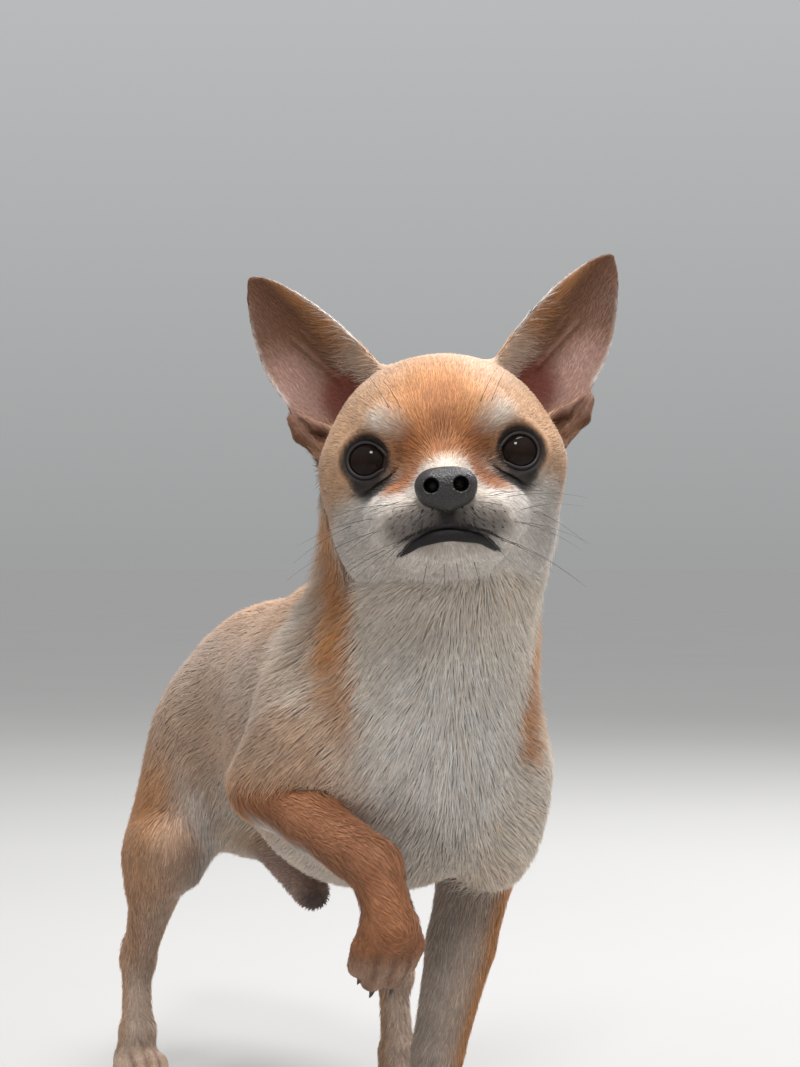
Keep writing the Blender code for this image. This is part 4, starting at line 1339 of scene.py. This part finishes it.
def hairy_material(name, rough, scale, detail, **tones):
    """The marking's colour, lightened and darkened by fine noise."""
    material, tree, shader = new_material(name, rough)
    streak = texture_on(tree, "ShaderNodeTexNoise", Scale=scale, Detail=detail)
    tone = node(tree, "ShaderNodeMapRange", **tones)
    tree.links.new(streak.outputs["Fac"], tone.inputs["Value"])
    colour = combined(tree, "SCALE", marking_on(tree), tone.outputs["Result"], "Scale")
    tree.links.new(colour, shader.inputs["Base Color"])
    return material, tree, shader, streak.outputs["Fac"]


def coat_material():
    """Hair, a little streaked, with a soft sheen."""
    material, _, shader, _ = hairy_material(
        "coat", 0.62, 420.0, 3.0, From_Min=0.3, From_Max=0.7, To_Min=0.88, To_Max=1.1
    )
    shader.inputs["Specular IOR Level"].default_value = 0.28
    shader.inputs["Sheen Weight"].default_value = 0.08
    shader.inputs["Sheen Roughness"].default_value = 0.5
    return material


def skin_material():
    """Skin under the coat: the markings darkened as painted shade between tufts, and fine hair as bump."""
    # Painted shade: the tone of 0.62 to 0.94 darkens the skin where it shows between the tufts.
    material, tree, shader, fine = hairy_material(
        "skin", 0.7, 900.0, 4.0, From_Min=0.25, From_Max=0.75, To_Min=0.62, To_Max=0.94
    )
    bump_on(tree, shader, fine, 0.5, 0.0006)
    shader.inputs["Specular IOR Level"].default_value = 0.3
    return material


def shades_of(tree, height, low, high):
    """One of two colours, or a shade between them, by the height."""
    shades = node(tree, "ShaderNodeValToRGB")
    for element, colour in zip(shades.color_ramp.elements, (low, high)):
        element.color = (*colour, 1)
    tree.links.new(height, shades.inputs["Fac"])
    return shades.outputs["Color"]


def eye_material():
    """A dark wet eye, near-black under a clear coat."""
    material, tree, shader = new_material("eye", 0.3)
    fibres = texture_on(tree, "ShaderNodeTexNoise", Scale=300.0, Detail=2.0)
    colour = shades_of(tree, fibres.outputs["Fac"], (0.004, 0.003, 0.003), (0.020, 0.010, 0.006))
    tree.links.new(colour, shader.inputs["Base Color"])
    shader.inputs["Specular IOR Level"].default_value = 0.0
    shader.inputs["Coat Weight"].default_value = 0.25
    shader.inputs["Coat Roughness"].default_value = 0.01
    return material


def nose_material():
    """Leathery nose skin with small pebbles, and painted shade in the nostrils that the mesh carries."""
    material, tree, shader = new_material("nose leather", 0.38)
    pebbles = texture_on(tree, "ShaderNodeTexVoronoi", Scale=1500.0).outputs["Distance"]
    shades = shades_of(tree, pebbles, (0.006, 0.005, 0.005), (0.036, 0.029, 0.029))
    tree.links.new(combined(tree, "MULTIPLY", shades, marking_on(tree)), shader.inputs["Base Color"])
    bump_on(tree, shader, pebbles, 0.5, 0.0004)
    return material


def plain_material(name, low, high, rough, scale=600.0, strength=0.2):
    """Two shades of one colour, mottled at the given scale, with a faint bump."""
    material, tree, shader = new_material(name, rough)
    mottle = texture_on(tree, "ShaderNodeTexNoise", Scale=scale, Detail=4.0).outputs["Fac"]
    tree.links.new(shades_of(tree, mottle, low, high), shader.inputs["Base Color"])
    bump_on(tree, shader, mottle, strength, 0.0004)
    return material


def make_eye(side, name, material):
    """The eyeball."""
    mesh = bmesh.new()
    gaze = Matrix(gaze_of(side)).to_4x4() @ Matrix.Rotation(math.radians(90), 4, "X")
    place = Matrix.Translation(mm(*eye_at(side))) @ gaze
    bmesh.ops.create_uvsphere(mesh, u_segments=48, v_segments=32, radius=mm(EYE_RADIUS), matrix=place)
    return object_from(name, mesh, material)


def bridge(mesh, rings):
    """Faces from each ring of points to the next."""
    for low, high in zip(rings, rings[1:]):
        for i in range(len(low)):
            after = (i + 1) % len(low)
            mesh.faces.new((low[i], low[after], high[after], high[i]))


def tube(mesh, course, radii, around):
    """A closed bar along the course, with a pointed or blunt end as its radii say."""
    rings = []
    course = np.array(course, float)
    ways = unit(np.gradient(course, axis=0))
    side = unit(np.cross(ways[0], (0.3, 0.5, 0.81)))
    angles = np.arange(around) * 2 * math.pi / around
    for point, way, radius in zip(course, ways, radii):
        side = unit(side - way * (side @ way))
        other = np.cross(way, side)
        ring = [mesh.verts.new(point + radius * (side * math.cos(a) + other * math.sin(a))) for a in angles]
        rings.append(ring)
    bridge(mesh, rings)
    mesh.faces.new(rings[0][::-1])
    mesh.faces.new(rings[-1])


def make_rim(side, name, material, steps=72, around=8):
    """The dark edge of the lids: a closed ring round the opening, drawn out to the inner corner."""
    gaze, centre = gaze_of(side), mm(*eye_at(side))
    mesh = bmesh.new()
    rings = []
    for i in range(steps):
        angle = 2 * math.pi * i / steps
        corner = max(0.0, math.cos(angle) * -side) ** 8
        x = EYE_OPENING[0] * math.cos(angle) + -side * 2.3 * corner
        z = EYE_OPENING[1] * math.sin(angle) - 2.0 * corner
        radius = EYE_RADIUS + 0.45 + 1.5 * corner
        y = -math.sqrt(max(radius**2 - x * x - z * z, 1))
        middle = centre + gaze @ mm(x, y, z)
        out = unit(middle - centre)
        away = unit(gaze @ np.array((x, 0, z)))
        away = unit(away - out * (away @ out))
        ring = []
        for k in range(around):
            a = 2 * math.pi * k / around
            off = away * math.cos(a) + 0.7 * out * math.sin(a)
            ring.append(mesh.verts.new(middle + mm(LID_EDGE) * off))
        rings.append(ring)
    bridge(mesh, rings + rings[:1])
    return object_from(name, mesh, material)


def make_nose(material):
    """The nose leather. Its nostrils are cut out and their edges then rounded."""
    body = remeshed(solid_of("nose_leather", nose_forms()), NOSE_VOXEL, 3)
    set_points(body, settle(points_of(body), [(nose_forms(), 0)], rounds=4))
    for number, form in enumerate(nostril_forms()):
        cutter = solid_of(f"nostril cut {number}", [form])
        remeshed(cutter, NOSE_VOXEL, 0)
        cut = body.modifiers.new("cut", "BOOLEAN")
        cut.operation, cut.object = "DIFFERENCE", cutter
        applied(body)
        bpy.data.objects.remove(cutter)
    remeshed(body, NOSE_VOXEL * 0.8, 4)
    points = points_of(body)
    # Painted shade: the nostrils' walls are darkened.
    nostril_shade = np.zeros(len(points))
    for form in nostril_forms():
        nostril_shade = np.maximum(nostril_shade, ramp(form.distance(points), mm(0.45), mm(-0.1)) * 0.9)
    add_colour(body.data, "marking", toward(np.ones((len(points), 3)), np.full(3, 0.05), nostril_shade))
    body.data.shade_smooth()
    body.data.materials.append(material)
    return body


def make_claws(material):
    """A curved, tapering claw out of each toe."""
    mesh = bmesh.new()
    for joints, axes, size in PAWS:
        at = paw_place(joints, axes)
        for out, ahead in TOES:
            course = [
                at(out * size, ahead + 9.5 + 5.6 * t, 5.6 - 0.4 * t - 2.4 * t * t) / 1000
                for t in np.linspace(0, 1, len(CLAW_RADII))
            ]
            tube(mesh, course, mm(1) * np.array(CLAW_RADII), 10)
    return object_from("claws", mesh, material)


def hair_from(mesh, tree, start, way, length, root, tip, droop):
    """A tapering hair out of the skin nearest to start, which bends down by droop times its length."""
    near, facing, _, _ = tree.find_nearest(Vector(mm(*in_head(*start))))
    near, facing = np.array(near), np.array(facing)
    way = unit(HEAD_TURN @ np.array(way))
    if way @ facing < 0.25:
        way = unit(way + facing * (0.25 - way @ facing))
    t = np.linspace(-0.03, 1, 9)
    course = near + np.outer(t, way) * length + np.outer(t**2, (0, 0, -1)) * length * droop
    tube(mesh, course, mm(1) * np.interp(t, (0, 0.12, 1), (root, root * 0.7, tip)), 5)


def make_whiskers(rng, tree, material):
    """Long thin hairs out of the muzzle, the brows, the cheeks and the chin, and the dots of the muzzle."""
    mesh = bmesh.new()
    hairs = []
    for s in (1, -1):
        for row in range(3):
            for k in range(4):
                hairs.append(((s * (9 + 3.4 * k), -26 + 4.6 * k, -22 - 2.6 * row),
                              (s * (0.8 + 0.05 * k), -0.4 + 0.3 * k, 0.05 - 0.25 * row), 17 + 3.6 * k))
        for k in range(2):
            hairs.append(((s * (13 + 4 * k), -9, 15 + k), (s * 0.4, -0.3, 0.9), 17))
        hairs.append(((s * 31, 8, -20), (s * 0.9, -0.1, -0.4), 20))
    for k in range(4):
        hairs.append((((k - 1.5) * 5, -14, -44), ((k - 1.5) * 0.2, -0.35, -0.9), 12))
    for start, way, length in hairs:
        way = np.array(way) + 0.12 * rng.standard_normal(3)
        hair_from(mesh, tree, start, way, mm(length) * (0.8 + 0.4 * rng.random()), 0.13, 0.02, 0.22)
    for s in (1, -1):
        for row in range(4):
            for k in range(5):
                start = (s * (5.5 + 2.7 * k + 0.5 * (row % 2)), -34 + 2.4 * k, -22.4 - 2.1 * row + 0.2 * k)
                hair_from(mesh, tree, start, (s * 0.5, -0.6, -0.5), mm(1.1), 0.42, 0.15, 0.1)
    return object_from("whiskers", mesh, material)


def make_lips(tree, material):
    """The bare black edges of the upper and lower lips, fullest in the middle."""
    mesh = bmesh.new()
    course = np.array([*mouth_course(-1)[:0:-1], *mouth_course(1)]) * 1000
    course = np.array(smooth_course([tuple(c) for c in course], 6)) / 1000
    share = np.abs(np.linspace(-1, 1, len(course)))
    for rise, full, fall in ((0.8, 0.8, 3.0), (-3.0, 2.3, 2.0)):
        middle = np.clip(1 - share**fall, 0, 1)
        line = course + np.outer(0.1 + 0.9 * middle, HEAD_TURN[:, 2]) * mm(rise)
        for i, point in enumerate(line):
            near, facing, _, _ = tree.find_nearest(Vector(point))
            line[i] = np.array(near) - np.array(facing) * mm(0.3 * full)
        for _ in range(6):
            line[1:-1] = (line[:-2] + 2 * line[1:-1] + line[2:]) / 4
        tube(mesh, line, mm(full) * (0.12 + 0.88 * middle), 12)
    return object_from("lips", mesh, material)


def place(body, slot):
    """Sets a finished piece over the origin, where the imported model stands, on its one body."""
    body.data.transform(Matrix.Translation(mm(-BOX_MIDDLE[0], -BOX_MIDDLE[1], 0)))
    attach(body, "root")
    return body


def build():
    skin, facts = make_skin()
    corners = corner_triangles(skin)
    tree = BVHTree.FromPolygons(facts["points"].tolist(), corners.tolist())
    rng = np.random.default_rng(SEED)
    hair = coat_material()
    coats = [grow(name, rng, facts, corners, tree, hair) for name in COAT_PIECES]
    skin.data.materials.append(skin_material())
    dark_lid = plain_material("lid edge", (0.004, 0.003, 0.003), (0.018, 0.013, 0.014), 0.55)
    horn = plain_material("claw", (0.015, 0.011, 0.009), (0.07, 0.05, 0.04), 0.35, 300.0)
    bristle = plain_material("whisker", (0.01, 0.008, 0.007), (0.05, 0.04, 0.035), 0.4)
    wet = eye_material()
    for side, name in ((1, "left"), (-1, "right")):
        ball = make_eye(side, "eyeball_" + name, wet)
        place(ball, "eye")
        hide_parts("eye_" + name)
        place(make_rim(side, "lid_edge_" + name, dark_lid), "nose_skin")
    nose = place(make_nose(nose_material()), "nose_skin")
    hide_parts("nose")
    place(make_claws(horn), "nose_skin")
    black_lip = plain_material("lip", (0.003, 0.002, 0.002), (0.016, 0.012, 0.012), 0.62, 1200.0, 0.6)
    black_lip.node_tree.nodes["Principled BSDF"].inputs["Specular IOR Level"].default_value = 0.3
    place(make_lips(tree, black_lip), "nose_skin")
    place(make_whiskers(rng, tree, bristle), "head_coat")
    place(skin, "body_coat")
    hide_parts(*[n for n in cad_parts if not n.startswith("eye") and n != "nose"])
    for body in coats:
        place(body, SLOTS[body.name.split("_")[1]])


# The photo's camera, in the dog's frame
CAMERA_AT = (-333.28, -870.80, 218.5)
CAMERA_TURN = 23
CAMERA_PITCH = 0.633
SENSOR = 36
LENS = 2400 / 1067 * SENSOR


def soft_sky():
    """Even studio light, brightest overhead."""
    world = bpy.data.worlds.new("studio")
    world.use_nodes = True
    tree = world.node_tree
    place, parts = node(tree, "ShaderNodeTexCoord"), node(tree, "ShaderNodeSeparateXYZ")
    tree.links.new(place.outputs["Generated"], parts.inputs["Vector"])
    colour = shades_of(tree, parts.outputs["Z"], (0.345, 0.35, 0.352), (0.97, 0.98, 1.0))
    tree.links.new(colour, tree.nodes["Background"].inputs["Color"])
    return world


def set_stage():
    """A pale floor, soft lamps, and the camera at the photograph's place."""
    bpy.ops.mesh.primitive_plane_add(size=200)
    floor = bpy.context.object
    floor.name = "floor"
    pale = plain_material("floor", (0.40, 0.395, 0.385), (0.43, 0.425, 0.415), 0.9, 3.0, 0.02)
    floor.data.materials.append(pale)
    bpy.context.scene.world = soft_sky()
    target = Vector(mm(0, -60, 200))
    for name, spot_at, size, power in (
        ("key", (-0.45, -1.2, 1.55), 0.3, 13),
        ("top", (0.1, -0.3, 1.8), 0.7, 22),
        ("rim", (1.0, 0.7, 1.3), 0.6, 20),
    ):
        lamp = bpy.data.lights.new(name, "AREA")
        lamp.energy, lamp.size = power, size
        body = linked(name, lamp)
        body.location = Vector(spot_at)
        body.rotation_euler = (target - Vector(spot_at)).to_track_quat("-Z", "Y").to_euler()
    lens = bpy.data.cameras.new("camera")
    lens.lens, lens.sensor_width, lens.sensor_fit = LENS, SENSOR, "AUTO"
    lens.clip_start, lens.clip_end = 0.01, 50
    camera = linked("camera", lens)
    camera.location = Vector(mm(*np.array(CAMERA_AT) - (*BOX_MIDDLE, 0)))
    camera.rotation_euler = (math.radians(90 + CAMERA_PITCH), 0, -math.radians(CAMERA_TURN))
    bpy.context.scene.camera = camera
    bpy.context.scene.view_settings.view_transform = "Standard"


build()
set_stage()
